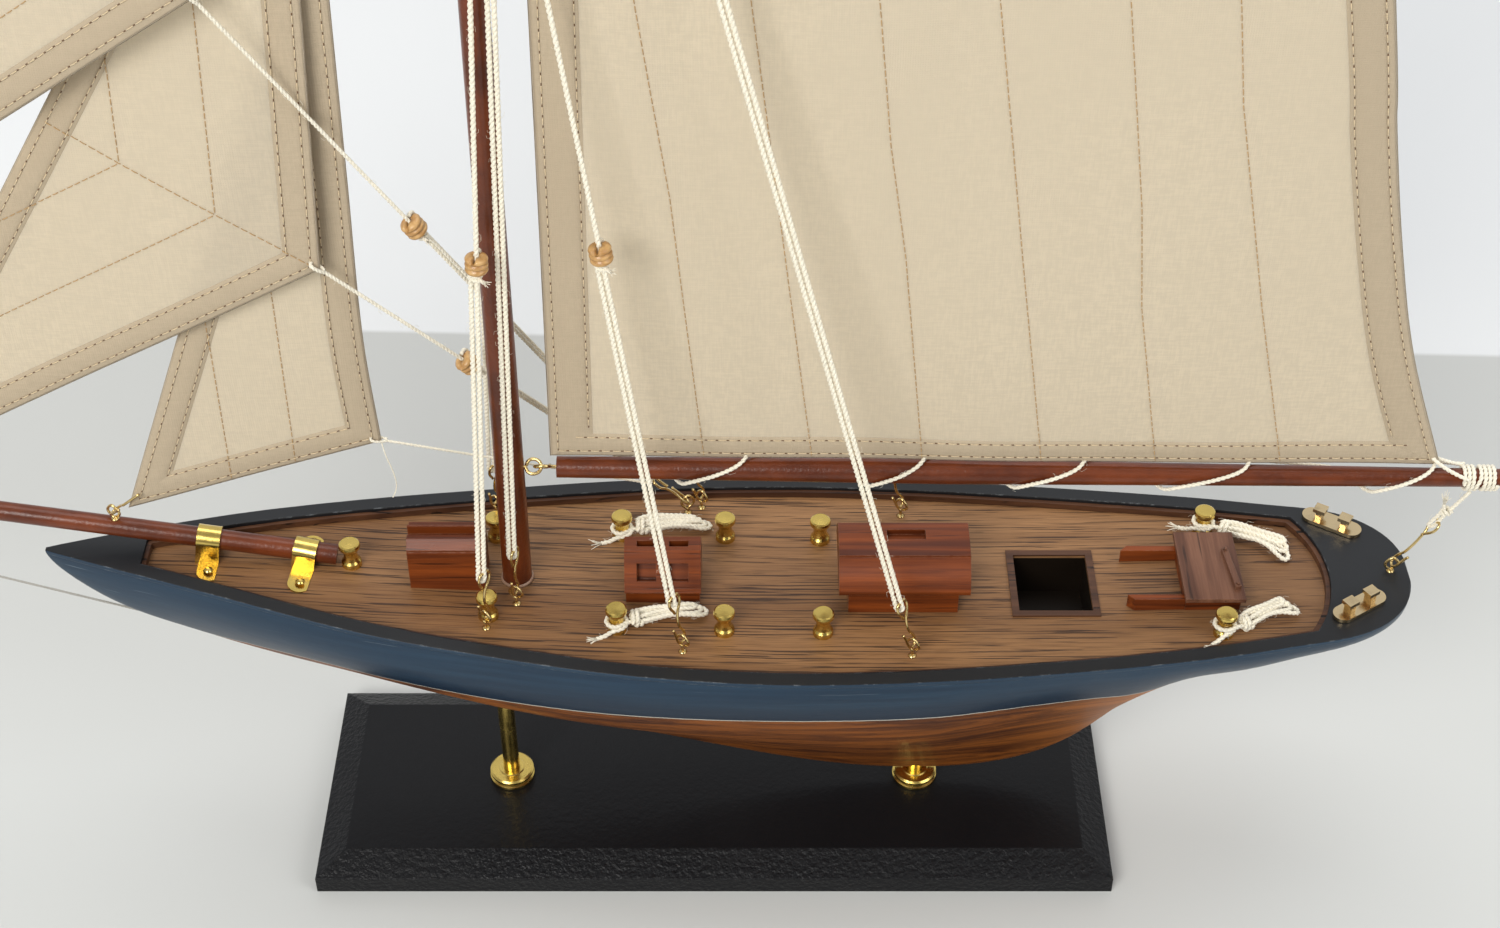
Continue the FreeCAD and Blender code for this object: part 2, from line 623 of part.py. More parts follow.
# ---------------------------------------------------------------- lines
# name: deck eye (x, y), mast height, end's offset from the mast's axis (x, y), bead's share of the run
SHROUDS = {
    "shroud_port_fore": (-53.2, -17.4, SHROUD_Z, 2.2, -3.3, 0.436),
    "shroud_port_aft": (-6.7, -23.1, HOUNDS_Z - 7, 2.2, -3.1, 0.395),
    "backstay_port": (47.2, -23.7, TOPMAST_Z, 1.6, -2.7, 0.56),
    "shroud_starboard_fore": (-54.0, 22.3, SHROUD_Z, 2.2, 3.3, 0.47),
    "shroud_starboard_aft": (-3.0, 26.6, HOUNDS_Z - 7, 2.2, 3.1, 0.395),
    "backstay_starboard": (46.8, 24.2, TOPMAST_Z, 0.8, 2.7, 0.56),
}
SHEET_EYE = (-6.4, 24.7)
HEADSAIL_SHEETS = [("jib_sheet", JIB[1], Vector(0, 0, 0), 0.404),
                   ("flying_jib_sheet", FLYING_JIB[1], Vector(0.9, 0.3, 0.9), 0.411),
                   ("staysail_sheet", STAYSAIL[1], Vector(-0.9, -0.2, -1.0), None)]
BEADS = {}


def bead(center, line):
    """Turned wooden tensioner with a grooved waist, bored for its line."""
    bore = STRING_R + 0.1
    half = BEAD_LENGTH / 2
    profile = [(bore, -half), (1.7, -half), (2.3, -half + 0.5), (BEAD_RADIUS, -half + 1.2), (2.1, -0.3),
               (2.1, 0.3), (BEAD_RADIUS, half - 1.2), (2.3, half - 0.5), (1.7, half), (bore, half)]
    return turned(profile, center, line)


def doubled_line(start, end, share, aside):
    """One strand all the way, and a second beside it that stops short of the bead's travel."""
    line = end - start
    main = rod(start, end, STRING_R)
    stop = share * line.Length - BEAD_LENGTH / 2 - BEAD_TRAVEL - 0.6
    shift = aside * STRAND_GAP
    second = rod(start + shift, start + shift + line * (stop / line.Length), STRING_R)
    return [main, second]


def make_shrouds(eyes, hooks):
    for name, (x, y, z, end_x, end_y, share) in SHROUDS.items():
        end = mast_point(z, end_y) + Vector(end_x, 0, 0)
        eye, center, axis = screw_eye(Vector(x, y, deck_z(x)), 35.0)
        hook, start = wire_hook(center, end, axis)
        eyes.append(eye)
        hooks.append(hook)
        line = (end - center).normalize()
        aside = line.cross(Vector(0, 1, 0)).normalize()
        save(name, *doubled_line(start, end, share, aside))
        place = start + (end - start) * share
        BEADS["bead_" + name] = (place, line)


def make_throat_halyard(eyes, hooks):
    end = Vector(-38.4, -3.0, 296.0)
    eye, center, axis = screw_eye(Vector(-46.6, -8.9, deck_z(-46.6)), 20.0)
    hook, start = wire_hook(center, end, axis)
    eyes.append(eye)
    hooks.append(hook)
    aside = (end - start).normalize().cross(Vector(0, 1, 0)).normalize() * STRAND_GAP
    save("throat_halyard", rod(start, end, STRING_R), rod(start + aside, end + aside, STRING_R))


def make_headsail_sheets(eyes, hooks):
    """Sheets of the headsails, all led to one hook on the starboard side deck."""
    x, y = SHEET_EYE
    foot = Vector(x, y, deck_z(x))
    eye, center, axis = screw_eye(foot, turn_across(foot, JIB[1]))
    hook, landing = wire_hook(center, JIB[1], axis)
    eyes.append(eye)
    hooks.append(hook)
    for name, clew, aside, share in HEADSAIL_SHEETS:
        start = clew + (landing - clew).normalize() * 1.5
        end = landing + aside
        save(name, rod(start, end, THIN_STRING_R))
        if share:
            BEADS["bead_" + name] = (start + (end - start) * share, (end - start).normalize())


def make_beads():
    for name, (place, line) in BEADS.items():
        save(name, bead(place, line))
        print("bead", name, [round(v, 2) for v in place], [round(v, 4) for v in line])


def make_headsail_halyards():
    """Lines from the head of each headsail up to the mast."""
    lines = []
    for sail, head_z in ((STAYSAIL, 300), (JIB, 352), (FLYING_JIB, 424)):
        head = mast_point(head_z) + Vector(-3.9, 0, 0)
        up = (head - sail[2]).normalize()
        lines.append(rod(sail[2] + up * 1.5, head, THIN_STRING_R))
    save("headsail_halyards", *lines)


def make_tack_fittings(eyes, hooks):
    """Screw eye on the bowsprit and wire hook for the tack of each headsail."""
    spar = bowsprit_spar()
    for sail, back in ((STAYSAIL, 4.2), (JIB, 5.0), (FLYING_JIB, 4.4)):
        foot = bowsprit_point(sail[0].x - back, BOWSPRIT_RADIUS)
        tack = sail[0] + Vector(0, -2.0, 0)
        eye, center, axis = screw_eye(foot, turn_across(foot, tack), LOW_EYE_RISE)
        eyes.append(eye.cut(spar))
        hook, _ = wire_hook(center, tack, axis, 4.0)
        hooks.append(hook)


def make_bobstay():
    tip = bowsprit_point(-283.0, -BOWSPRIT_RADIUS - 0.4)
    x = -135.2
    save("bobstay", rod(tip, Vector(x, 0, interpolate(KEEL, x) - 0.6), 0.35))


def make_sail_lacing():
    """Slanting turns of cord that hold the foot of the mainsail to the boom."""
    turns = []
    for x in (-5.0, 43.0, 79.0, 117.0, 165.0):
        low = Vector(x - 9, -4.1, boom_z(x - 9) - 1.6)
        high = Vector(x + 9, -2.9, boom_z(x + 9) + 3.9)
        turns.append(rod(low, high, 0.5))
    save("sail_lacing", *turns)


def make_boom_lashing():
    x = 177.6
    axis = Vector(BOOM_END[0] - BOOM_START[0], 0, BOOM_END[1] - BOOM_START[1])
    start = Vector(x - 3.6, 0, boom_z(x - 3.6))
    band = Part.makeCylinder(3.5, 7.2, start, axis).cut(Part.makeCylinder(2.45, 20, start - axis / 40, axis))
    save("boom_lashing", band)


def make_peak_halyard():
    share = 0.62
    gaff_x = GAFF_START[0] + share * (GAFF_END[0] - GAFF_START[0])
    gaff_z = GAFF_START[1] + share * (GAFF_END[1] - GAFF_START[1])
    foot = Vector(gaff_x, 0, gaff_z + 3.6)
    head = mast_point(418) + Vector(4.2, 0, 0)
    save("peak_halyard", rod(foot, head, THIN_STRING_R))


def make_mainsheet():
    foot = Vector(MAINSHEET_X, 0, sheer(MAINSHEET_X))
    eye, center, axis = screw_eye(foot, 0.0, LOW_EYE_RISE)
    eye = eye.common(ABOVE_SHEER)
    top = Vector(177.4, 0, boom_z(177.4) - 4.4)
    hook, start = wire_hook(center, top, axis, 13.0)
    save("mainsheet_hook", hook)
    save("mainsheet_line", rod(start, top, STRING_R))
    print("mainsheet pivot", center, "top", top)
    return eye


def make_gooseneck():
    """Two linked eyes that join the boom to the mast."""
    z = BOOM_START[1] + 0.1
    mast_x = mast_point(z).x + 3.47
    fixed = ring(Vector(mast_x + 2.1, 0, z), Vector(0, 1, 0))
    fixed = fixed.fuse(rod(Vector(mast_x, 0, z), Vector(mast_x + 0.8, 0, z), WIRE_R))
    moving_x = mast_x + 3.6
    moving = ring(Vector(moving_x, 0, z), Vector(0, 0, 1))
    moving = moving.fuse(rod(Vector(moving_x + RING_R, 0, z), Vector(BOOM_START[0] - TOUCH, 0, z), WIRE_R))
    save("gooseneck_boom_eye", moving)
    return fixed


# ---------------------------------------------------------------- coiled rope ends
def hank(name, start, end, width, height):
    """Outer shape of a hank that lies on the deck between two points."""
    x0, y0 = start
    x1, y1 = end
    length = math.hypot(x1 - x0, y1 - y0)
    points = []
    for k in range(12):
        angle = math.radians(30 * k)
        points.append(Vector(length / 2 * math.cos(angle), width / 2 * math.sin(angle), 0))
    z = max(deck_z(x0), deck_z(x1)) + TOUCH
    solid = extrude_outline(points, Vector(0, 0, height))
    solid.rotate(Vector(0, 0, 0), Vector(0, 0, 1), math.degrees(math.atan2(y1 - y0, x1 - x0)))
    solid.translate(Vector((x0 + x1) / 2, (y0 + y1) / 2, z))
    save(name, solid)


def make_hanks():
    hank("rope_hank_mid_port", (-19.6, -14.4), (-1.6, -10.6), 5.0, 3.0)
    hank("rope_hank_mid_starboard", (-19.2, 17.4), (-1.4, 19.0), 5.0, 3.0)
    hank("rope_hank_stern_port", (125.0, -16.2), (138.4, -9.4), 5.0, 3.0)
    hank("rope_hank_stern_starboard", (125.4, 17.2), (140.4, 9.4), 6.6, 3.0)


# ---------------------------------------------------------------- whole model
def main():
    make_base()
    make_posts()
    make_collars()
    make_hull()
    make_rail_cap()
    make_deck()
    make_hatch_coaming()
    make_fore_skylight()
    make_mid_skylight()
    make_cabin()
    make_aft_box()
    make_bollards()
    make_cleats()
    make_straps()
    make_mast()
    make_boom()
    make_gaff()
    make_bowsprit()
    make_sails()
    eyes = []
    hooks = []
    make_shrouds(eyes, hooks)
    make_throat_halyard(eyes, hooks)
    make_headsail_sheets(eyes, hooks)
    make_beads()
    make_headsail_halyards()
    make_tack_fittings(eyes, hooks)
    make_bobstay()
    make_sail_lacing()
    make_boom_lashing()
    make_peak_halyard()
    eyes.append(make_mainsheet())
    eyes.append(make_gooseneck())
    make_hanks()
    save("screw_eyes", *eyes)
    save("line_hooks", *hooks)


main()
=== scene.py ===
"""A gaff-rigged display yacht on its stand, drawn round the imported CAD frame.

Points are written in millimetres in the row frame (+X aft, +Y starboard, +Z up).
mm() turns them into metres.
"""
import json
import math
import random

import bmesh
import bpy
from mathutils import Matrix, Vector
from mathutils.bvhtree import BVHTree


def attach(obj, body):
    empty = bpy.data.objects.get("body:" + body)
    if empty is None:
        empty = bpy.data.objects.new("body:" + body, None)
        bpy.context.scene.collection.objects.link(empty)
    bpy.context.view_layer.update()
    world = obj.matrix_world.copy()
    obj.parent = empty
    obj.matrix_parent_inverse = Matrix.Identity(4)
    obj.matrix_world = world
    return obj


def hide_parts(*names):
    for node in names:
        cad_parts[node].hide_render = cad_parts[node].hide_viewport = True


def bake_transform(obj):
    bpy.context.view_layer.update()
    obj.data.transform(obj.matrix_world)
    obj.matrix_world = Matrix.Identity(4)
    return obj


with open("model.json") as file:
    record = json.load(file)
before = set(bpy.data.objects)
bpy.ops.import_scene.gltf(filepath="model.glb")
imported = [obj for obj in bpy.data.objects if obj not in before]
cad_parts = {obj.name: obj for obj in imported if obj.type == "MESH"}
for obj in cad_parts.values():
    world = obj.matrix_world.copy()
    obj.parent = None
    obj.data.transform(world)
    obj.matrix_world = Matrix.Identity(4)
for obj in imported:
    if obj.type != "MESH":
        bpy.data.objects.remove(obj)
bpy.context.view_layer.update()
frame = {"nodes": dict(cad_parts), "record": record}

RANDOM = random.Random(7)
MM = 0.001
UP = Vector((0, 0, 1))
STARBOARD = Vector((0, 1, 0))
SCENE = bpy.context.scene
NODES = frame["nodes"]

# sizes that the part's source also holds, in millimetres
MAST_FOOT = (-47.1, 80.4)      # x and z of the mast's axis at the deck
MAST_RAKE = 0.0131
BOOM_START = (-35.6, 117.3)
BOOM_END = (190.0, 113.7)
GAFF_START = (-36.5, 300.0)
GAFF_END = (104.0, 412.0)
BOWSPRIT_HEEL = (-90.3, 87.05)
BOWSPRIT_SLOPE = -0.185
BOWSPRIT_Y = 2.0
BOWSPRIT_RADIUS = 2.5
HOUNDS_Z = 338.4
SHROUD_Z = 294.0
TOPMAST_Z = 425.0
WATERLINE_Z = 65.4
EYE_RISE = 3.6
LOW_EYE_RISE = 2.2
ABOVE_DECK_Z = 110             # height from which the deck is probed
RING = 1.3
WIRE = 0.35
GOOSENECK_WIRE = 0.42
HOOK_START = 1.5
HOOK_LENGTH = 10.3
SHORT_HOOK = 6.0               # a hook shorter than this ends in a plain bend
STRAND_GAP = 1.3
STRING_RADIUS = 0.6
THIN_RADIUS = 0.45
PLIES = 2                      # yarns that a string is twisted from
STEPS_PER_TWIST = 8
BEAD_LENGTH = 4.2
# tack, clew and head of each sail
MAINSAIL = ((-36.7, 0, 120.9), (168.2, 0, 118.3), (-33.0, 0, 297.6))
STAYSAIL = ((-137.4, 2.0, 102.9), (-76.3, 4.0, 122.1), (-72.5, 0.9, 269.7))
JIB = ((-199.2, 1.6, 111.8), (-82.7, -3.0, 176.8), (-74.2, -0.6, 311.3))
FLYING_JIB = ((-276.0, 1.6, 126.5), (-97.2, -10.0, 246.6), (-76.5, -1.0, 386.0))
ROOT = "hull_and_rig"
BOOM_BODY = "boom_and_mainsail"


def mm(x, y, z):
    return Vector((x, y, z)) * MM


# ---------------------------------------------------------------- camera
CAMERA_PLACE = (9.1, -395.1, 473.9)
CAMERA_LENS = 55.2             # millimetres, on a sensor 36 mm wide
CAMERA_TILT = 48               # degrees up from straight down


def make_camera():
    data = bpy.data.cameras.new("camera")
    data.sensor_width = 36
    data.lens = CAMERA_LENS
    camera = bpy.data.objects.new("camera", data)
    camera.location = mm(*CAMERA_PLACE)
    camera.rotation_euler = (math.radians(CAMERA_TILT), 0, 0)
    SCENE.collection.objects.link(camera)
    SCENE.camera = camera


# ---------------------------------------------------------------- material nodes
class Paint:
    """A Principled material and short ways to add nodes to it."""

    def __init__(self, name, color, roughness, metallic=0.0, coat=0.0, specular=0.5, sheen=0.0):
        self.material = bpy.data.materials.new(name)
        self.material.use_nodes = True
        self.tree = self.material.node_tree
        self.shader = self.tree.nodes["Principled BSDF"]
        self.set("Base Color", (*color, 1))
        self.set("Roughness", roughness)
        self.set("Metallic", metallic)
        self.set("Coat Weight", coat)
        self.set("Coat Roughness", 0.12)
        self.set("Specular IOR Level", specular)
        self.set("Sheen Weight", sheen)

    def set(self, socket, value):
        """A constant or another node's output on the shader's socket."""
        self.feed(self.shader.inputs[socket], value)

    def feed(self, socket, value):
        if isinstance(value, bpy.types.NodeSocket):
            self.tree.links.new(value, socket)
        elif isinstance(value, tuple) and len(value) == 3 and socket.type == "RGBA":
            socket.default_value = (*value, 1)
        else:
            socket.default_value = value

    def node(self, kind, values=(), **settings):
        made = self.tree.nodes.new("ShaderNode" + kind)
        for key, value in settings.items():
            setattr(made, key, value)
        for socket, value in dict(values).items():
            self.feed(made.inputs[socket], value)
        return made

    def place(self, scale=(1, 1, 1)):
        """Object coordinates, stretched."""
        source = self.node("TexCoord").outputs["Object"]
        values = {"Vector": source, "Scale": scale}
        return self.node("Mapping", values).outputs["Vector"]

    def noise(self, vector, scale=1.0, detail=3.0, rough=0.55, bend=0.0):
        values = {"Vector": vector, "Scale": scale, "Detail": detail, "Roughness": rough, "Distortion": bend}
        return self.node("TexNoise", values).outputs["Fac"]

    def wave(self, vector, scale, direction="X", bend=0.0):
        values = {"Vector": vector, "Scale": scale, "Distortion": bend, "Detail": 1.0}
        return self.node("TexWave", values, bands_direction=direction).outputs["Fac"]

    def between(self, value, low, high, smooth=True):
        """0 below low and 1 above high."""
        values = {"Value": value, "From Min": low, "From Max": high}
        kind = "SMOOTHSTEP" if smooth else "LINEAR"
        return self.node("MapRange", values, interpolation_type=kind).outputs["Result"]

    def math(self, operation, a, b=0.0):
        return self.node("Math", {0: a, 1: b}, operation=operation).outputs[0]

    def spread(self, value, low, high):
        """0 to 1 stretched to low to high."""
        return self.node("MapRange", {"Value": value, "To Min": low, "To Max": high}).outputs["Result"]

    def times(self, a, b):
        return self.math("MULTIPLY", a, b)

    def mix(self, factor, a, b):
        made = self.node("Mix", data_type="RGBA")
        for index, value in ((0, factor), (6, a), (7, b)):
            self.feed(made.inputs[index], value)
        return made.outputs[2]

    def axis(self, name):
        source = self.node("TexCoord").outputs["Object"]
        return self.node("SeparateXYZ", {"Vector": source}).outputs[name]

    def edges(self, radius, low=0.03, high=0.22):
        """1 along sharp edges and 0 elsewhere, and the rounded normal."""
        rounded = self.node("Bevel", {"Radius": radius}, samples=4).outputs["Normal"]
        flat = self.node("NewGeometry").outputs["Normal"]
        same = self.node("VectorMath", {0: rounded, 1: flat}, operation="DOT_PRODUCT").outputs["Value"]
        return self.between(self.math("SUBTRACT", 1.0, same), low, high), rounded

    def bump(self, height, distance, strength=1.0, normal=None):
        values = {"Height": height, "Distance": distance, "Strength": strength}
        if normal is not None:
            values["Normal"] = normal
        self.set("Normal", self.node("Bump", values).outputs["Normal"])


def dimmed(color, share):
    return tuple(share * c for c in color)


def base_lacquer():
    """Black lacquer, pebbled on the bevels and worn along the edges."""
    paint = Paint("base_lacquer", (0.008, 0.008, 0.009), 0.32, coat=0.03, specular=0.17)
    worn, rounded = paint.edges(0.0007)
    speck = paint.between(paint.noise(paint.place(), 900, 4), 0.5, 0.72)
    worn = paint.times(worn, speck)
    paint.set("Base Color", paint.mix(paint.times(worn, 0.5), (0.007, 0.007, 0.008), (0.09, 0.09, 0.10)))
    smudge = paint.between(paint.noise(paint.place((1, 1, 1)), 28, 4), 0.3, 0.8)
    paint.set("Roughness", paint.spread(smudge, 0.28, 0.44))
    upward = paint.node("SeparateXYZ", {"Vector": paint.node("NewGeometry").outputs["Normal"]}).outputs["Z"]
    bevel = paint.math("SUBTRACT", 1.0, paint.between(upward, 0.9, 0.98))
    peel = paint.noise(paint.place(), 780, 3)
    height = paint.times(peel, paint.math("ADD", 0.35, bevel))
    paint.bump(height, 0.0004, 0.9, rounded)
    return paint


def blue_coat(paint):
    """Colour of the dark blue topsides, brushed fore and aft."""
    streak = paint.noise(paint.place((14, 60, 420)), 1, 5, 0.6)
    blotch = paint.noise(paint.place((6, 6, 22)), 1, 3)
    tone = paint.mix(paint.between(streak, 0.35, 0.7), (0.006, 0.022, 0.046), (0.014, 0.042, 0.076))
    return paint.mix(paint.between(blotch, 0.35, 0.75), tone, (0.005, 0.028, 0.062))


# near-black painted shade for the inside of the open hatch's well
WELL_SHADE_COLOR = (0.008, 0.005, 0.003)


def well_shade_mask(paint):
    """1 in the open hatch's well, seen from above: where the well's near-black painted shade goes."""
    forward = paint.between(paint.axis("X"), 0.0729, 0.0733, smooth=False)
    behind = paint.between(paint.axis("X"), 0.0919, 0.0915, smooth=False)
    beside = paint.math("LESS_THAN", paint.math("ABSOLUTE", paint.axis("Y")), 0.0099)
    above_keel = paint.math("GREATER_THAN", paint.axis("Z"), 0.0655)
    return paint.times(paint.times(forward, behind), paint.times(beside, above_keel))


def hull_paint():
    """Blue topsides that darken towards the waterline as painted shade, a thin pale line, a wavy-grained
    brown bottom, and painted shade in the open hatch's well.
    """
    paint = Paint("hull_paint", (0.012, 0.03, 0.05), 0.38, coat=0.05, specular=0.28)
    height = paint.axis("Z")
    wobble = paint.times(paint.math("SUBTRACT", paint.noise(paint.place(), 60, 2), 0.5), 0.0004)
    level = paint.math("ADD", height, wobble)
    wave = paint.noise(paint.place((16, 60, 170)), 1, 6, 0.66, 1.4)
    pores = paint.noise(paint.place((90, 700, 900)), 1, 3)
    wood = paint.mix(paint.between(wave, 0.36, 0.64), (0.060, 0.014, 0.002), (0.27, 0.080, 0.011))
    wood = paint.mix(paint.times(paint.between(pores, 0.56, 0.72), 0.7), wood, (0.05, 0.014, 0.005))
    pale = paint.between(paint.axis("X"), 0.07, 0.12)
    wood = paint.mix(paint.times(pale, 0.7), wood, (0.62, 0.23, 0.06))
    blue = blue_coat(paint)
    # painted shade: the blue darkens towards the waterline, copying the reflection that lightens the upper
    # topsides
    blue = paint.mix(paint.between(height, 0.064, 0.077), (0.003, 0.014, 0.034), blue)
    scratch = paint.between(paint.noise(paint.place((60, 160, 2200)), 1, 2), 0.70, 0.76)
    near_rail = paint.between(height, 0.074, 0.083)
    blue = paint.mix(paint.times(paint.times(scratch, near_rail), 0.5), blue, (0.20, 0.25, 0.29))
    above_line = paint.between(level, WATERLINE_Z * MM, (WATERLINE_Z + 0.1) * MM)
    stripe = paint.mix(above_line, wood, (0.50, 0.48, 0.42))
    above_stripe = paint.between(level, (WATERLINE_Z + 0.45) * MM, (WATERLINE_Z + 0.55) * MM)
    color = paint.mix(above_stripe, stripe, blue)
    # painted shade: the hull's walls inside the open hatch's well are coloured near black
    paint.set("Base Color", paint.mix(well_shade_mask(paint), color, WELL_SHADE_COLOR))
    paint.set("Roughness", paint.spread(above_line, 0.55, 0.38))
    paint.bump(paint.noise(paint.place((200, 500, 900)), 1, 3), 0.00005, 0.5)
    return paint


def rail_lacquer():
    """Black on top and inside, blue on the sides that face outwards, with pale worn edges."""
    paint = Paint("rail_lacquer", (0.008, 0.009, 0.011), 0.4, coat=0.06, specular=0.35)
    normal = paint.node("SeparateXYZ", {"Vector": paint.node("NewGeometry").outputs["Normal"]}).outputs
    outward = paint.between(paint.times(normal["Y"], paint.axis("Y")), 0.0, 0.0006)
    sideways = paint.math("SUBTRACT", 1.0, paint.between(normal["Z"], 0.45, 0.7))
    tone = paint.mix(paint.times(outward, sideways), (0.010, 0.011, 0.013), blue_coat(paint))
    worn, rounded = paint.edges(0.0006)
    patch = paint.between(paint.noise(paint.place(), 330, 5, 0.7), 0.50, 0.68)
    worn = paint.times(paint.times(worn, patch), 0.7)
    paint.set("Base Color", paint.mix(worn, tone, (0.27, 0.30, 0.32)))
    paint.bump(paint.noise(paint.place((250, 250, 600)), 1, 3), 0.00006, 0.6, rounded)
    return paint


def grained(name, dark, light, roughness, along="X", coat=0.0, lines=1.0, worn=None):
    """Straight-grained wood: broad tone, fine streaks and dark pores that run along one axis."""
    paint = Paint(name, light, roughness, coat=coat, specular=0.3)
    stretch = {"X": (1, 26, 26), "Y": (26, 1, 26), "Z": (26, 26, 1)}[along]

    def scaled(by):
        return tuple(by * s for s in stretch)

    broad = paint.noise(paint.place(scaled(12)), 1, 4, 0.6, 0.35)
    fine = paint.noise(paint.place(scaled(62)), 1, 5, 0.65)
    pores = paint.noise(paint.place(scaled(34)), 1, 3, 0.5, 0.2)
    tone = paint.mix(paint.between(broad, 0.3, 0.7), dark, light)
    tone = paint.mix(paint.times(paint.between(fine, 0.42, 0.7), 0.45), tone, dark)
    pore = paint.times(paint.between(pores, 0.60, 0.68), lines)
    tone = paint.mix(pore, tone, dimmed(dark, 0.22))
    normal = None
    if worn:
        mask, normal = paint.edges(0.0003, 0.04, 0.3)
        patch = paint.between(paint.noise(paint.place(), 800, 3), 0.35, 0.65)
        tone = paint.mix(paint.times(paint.times(mask, patch), 0.6), tone, worn)
    paint.set("Base Color", tone)
    paint.bump(paint.math("SUBTRACT", fine, pore), 0.00008, 0.55, normal)
    return paint


def deck_veneer():
    """Brown open-grained veneer, darker towards the stern, with short dark pores fore and aft."""
    paint = Paint("deck_veneer", (0.22, 0.12, 0.055), 0.5, coat=0.03, specular=0.35)
    lines = paint.noise(paint.place((32, 1800, 40)), 1, 3, 0.55, 0.1)
    threads = paint.noise(paint.place((70, 3900, 40)), 1, 3, 0.6)
    broad = paint.noise(paint.place((5, 55, 10)), 1, 3)
    tone = paint.mix(paint.between(broad, 0.3, 0.7), (0.195, 0.090, 0.033), (0.320, 0.165, 0.068))
    tone = paint.mix(paint.times(paint.between(threads, 0.44, 0.66), 0.6), tone, (0.110, 0.046, 0.017))
    dark = paint.between(lines, 0.565, 0.60)
    tone = paint.mix(paint.times(dark, 0.85), tone, (0.030, 0.013, 0.007))
    aft = paint.between(paint.axis("X"), 0.06, 0.15)
    tone = paint.mix(paint.times(aft, 0.25), tone, (0.09, 0.045, 0.025))
    # painted shade: the deck's cut face inside the open hatch's well is coloured near black
    below = paint.between(paint.axis("Z"), 0.0788, 0.0784, smooth=False)
    tone = paint.mix(paint.times(well_shade_mask(paint), below), tone, WELL_SHADE_COLOR)
    paint.set("Base Color", tone)
    paint.bump(paint.math("SUBTRACT", threads, dark), 0.0001, 0.6)
    return paint


def spar_varnish():
    """Red-brown varnish over lengthwise grain, with an orange-peel skin."""
    paint = Paint("spar_varnish", (0.20, 0.05, 0.02), 0.34, coat=0.15, specular=0.35)
    tone = paint.between(paint.noise(paint.place((70, 260, 70)), 1, 5, 0.6), 0.3, 0.72)
    color = paint.mix(tone, (0.075, 0.014, 0.003), (0.165, 0.034, 0.007))
    paint.set("Base Color", color)
    peel = paint.noise(paint.place(), 1150, 2, 0.5)
    paint.bump(peel, 0.00014, 0.7)
    return paint


def metal(name, color, roughness):
    paint = Paint(name, color, roughness, metallic=1.0)
    smear = paint.noise(paint.place(), 420, 3)
    paint.set("Roughness", paint.spread(smear, roughness * 0.7, roughness * 1.7))
    dull = paint.between(paint.noise(paint.place(), 190, 4), 0.5, 0.85)
    paint.set("Base Color", paint.mix(dull, color, dimmed(color, 0.72)))
    paint.bump(paint.noise(paint.place(), 700, 2), 0.00003, 0.8)
    return paint


def sailcloth(name, color, through):
    """Plain-woven cotton that lets some light through."""
    paint = Paint(name, color, 0.9, specular=0.12, sheen=0.05)
    warp = paint.wave(paint.place(), 620, "X", 1.5)
    weft = paint.wave(paint.place(), 620, "Z", 1.5)
    weave = paint.times(warp, weft)
    slub = paint.noise(paint.place((260, 50, 1500)), 1, 3)
    slub_up = paint.noise(paint.place((1500, 50, 260)), 1, 3)
    threads = paint.math("ADD", slub, slub_up)
    cloud = paint.noise(paint.place((16, 16, 11)), 1, 4)
    tone = paint.mix(paint.between(threads, 0.82, 1.22), dimmed(color, 0.95), dimmed(color, 1.03))
    tone = paint.mix(paint.between(cloud, 0.3, 0.8), tone, dimmed(color, 0.965))
    tone = paint.mix(paint.times(weave, 0.08), tone, dimmed(color, 0.6))
    paint.set("Base Color", tone)
    paint.bump(paint.math("ADD", weave, threads), 0.00006, 0.6)
    glow = paint.node("BsdfTranslucent", {"Color": tone})
    joined = paint.node("MixShader", {0: through, 1: paint.shader.outputs[0], 2: glow.outputs[0]})
    output = paint.tree.nodes["Material Output"]
    paint.tree.links.new(joined.outputs[0], output.inputs["Surface"])
    return paint


def fibre(name, color, roughness=0.9):
    """Cotton string or thread."""
    paint = Paint(name, color, roughness, specular=0.15, sheen=0.25)
    fluff = paint.noise(paint.place(), 2400, 3, 0.7)
    tone = paint.mix(paint.between(fluff, 0.3, 0.7), dimmed(color, 0.80), color)
    paint.set("Base Color", tone)
    paint.bump(fluff, 0.00012, 0.9)
    return paint


def bead_wood():
    paint = Paint("bead_wood", (0.55, 0.30, 0.10), 0.42, coat=0.25)
    ring = paint.noise(paint.place((500, 500, 900)), 1, 4)
    paint.set("Base Color", paint.mix(paint.between(ring, 0.3, 0.72), (0.40, 0.20, 0.06), (0.62, 0.38, 0.15)))
    paint.bump(ring, 0.00008, 0.6)
    return paint


def pale_glue():
    paint = Paint("pale_glue", (0.55, 0.43, 0.32), 0.35, coat=0.2)
    lump = paint.noise(paint.place(), 500, 2)
    paint.set("Base Color", paint.mix(lump, (0.24, 0.12, 0.07), (0.40, 0.27, 0.19)))
    paint.bump(lump, 0.0001)
    return paint


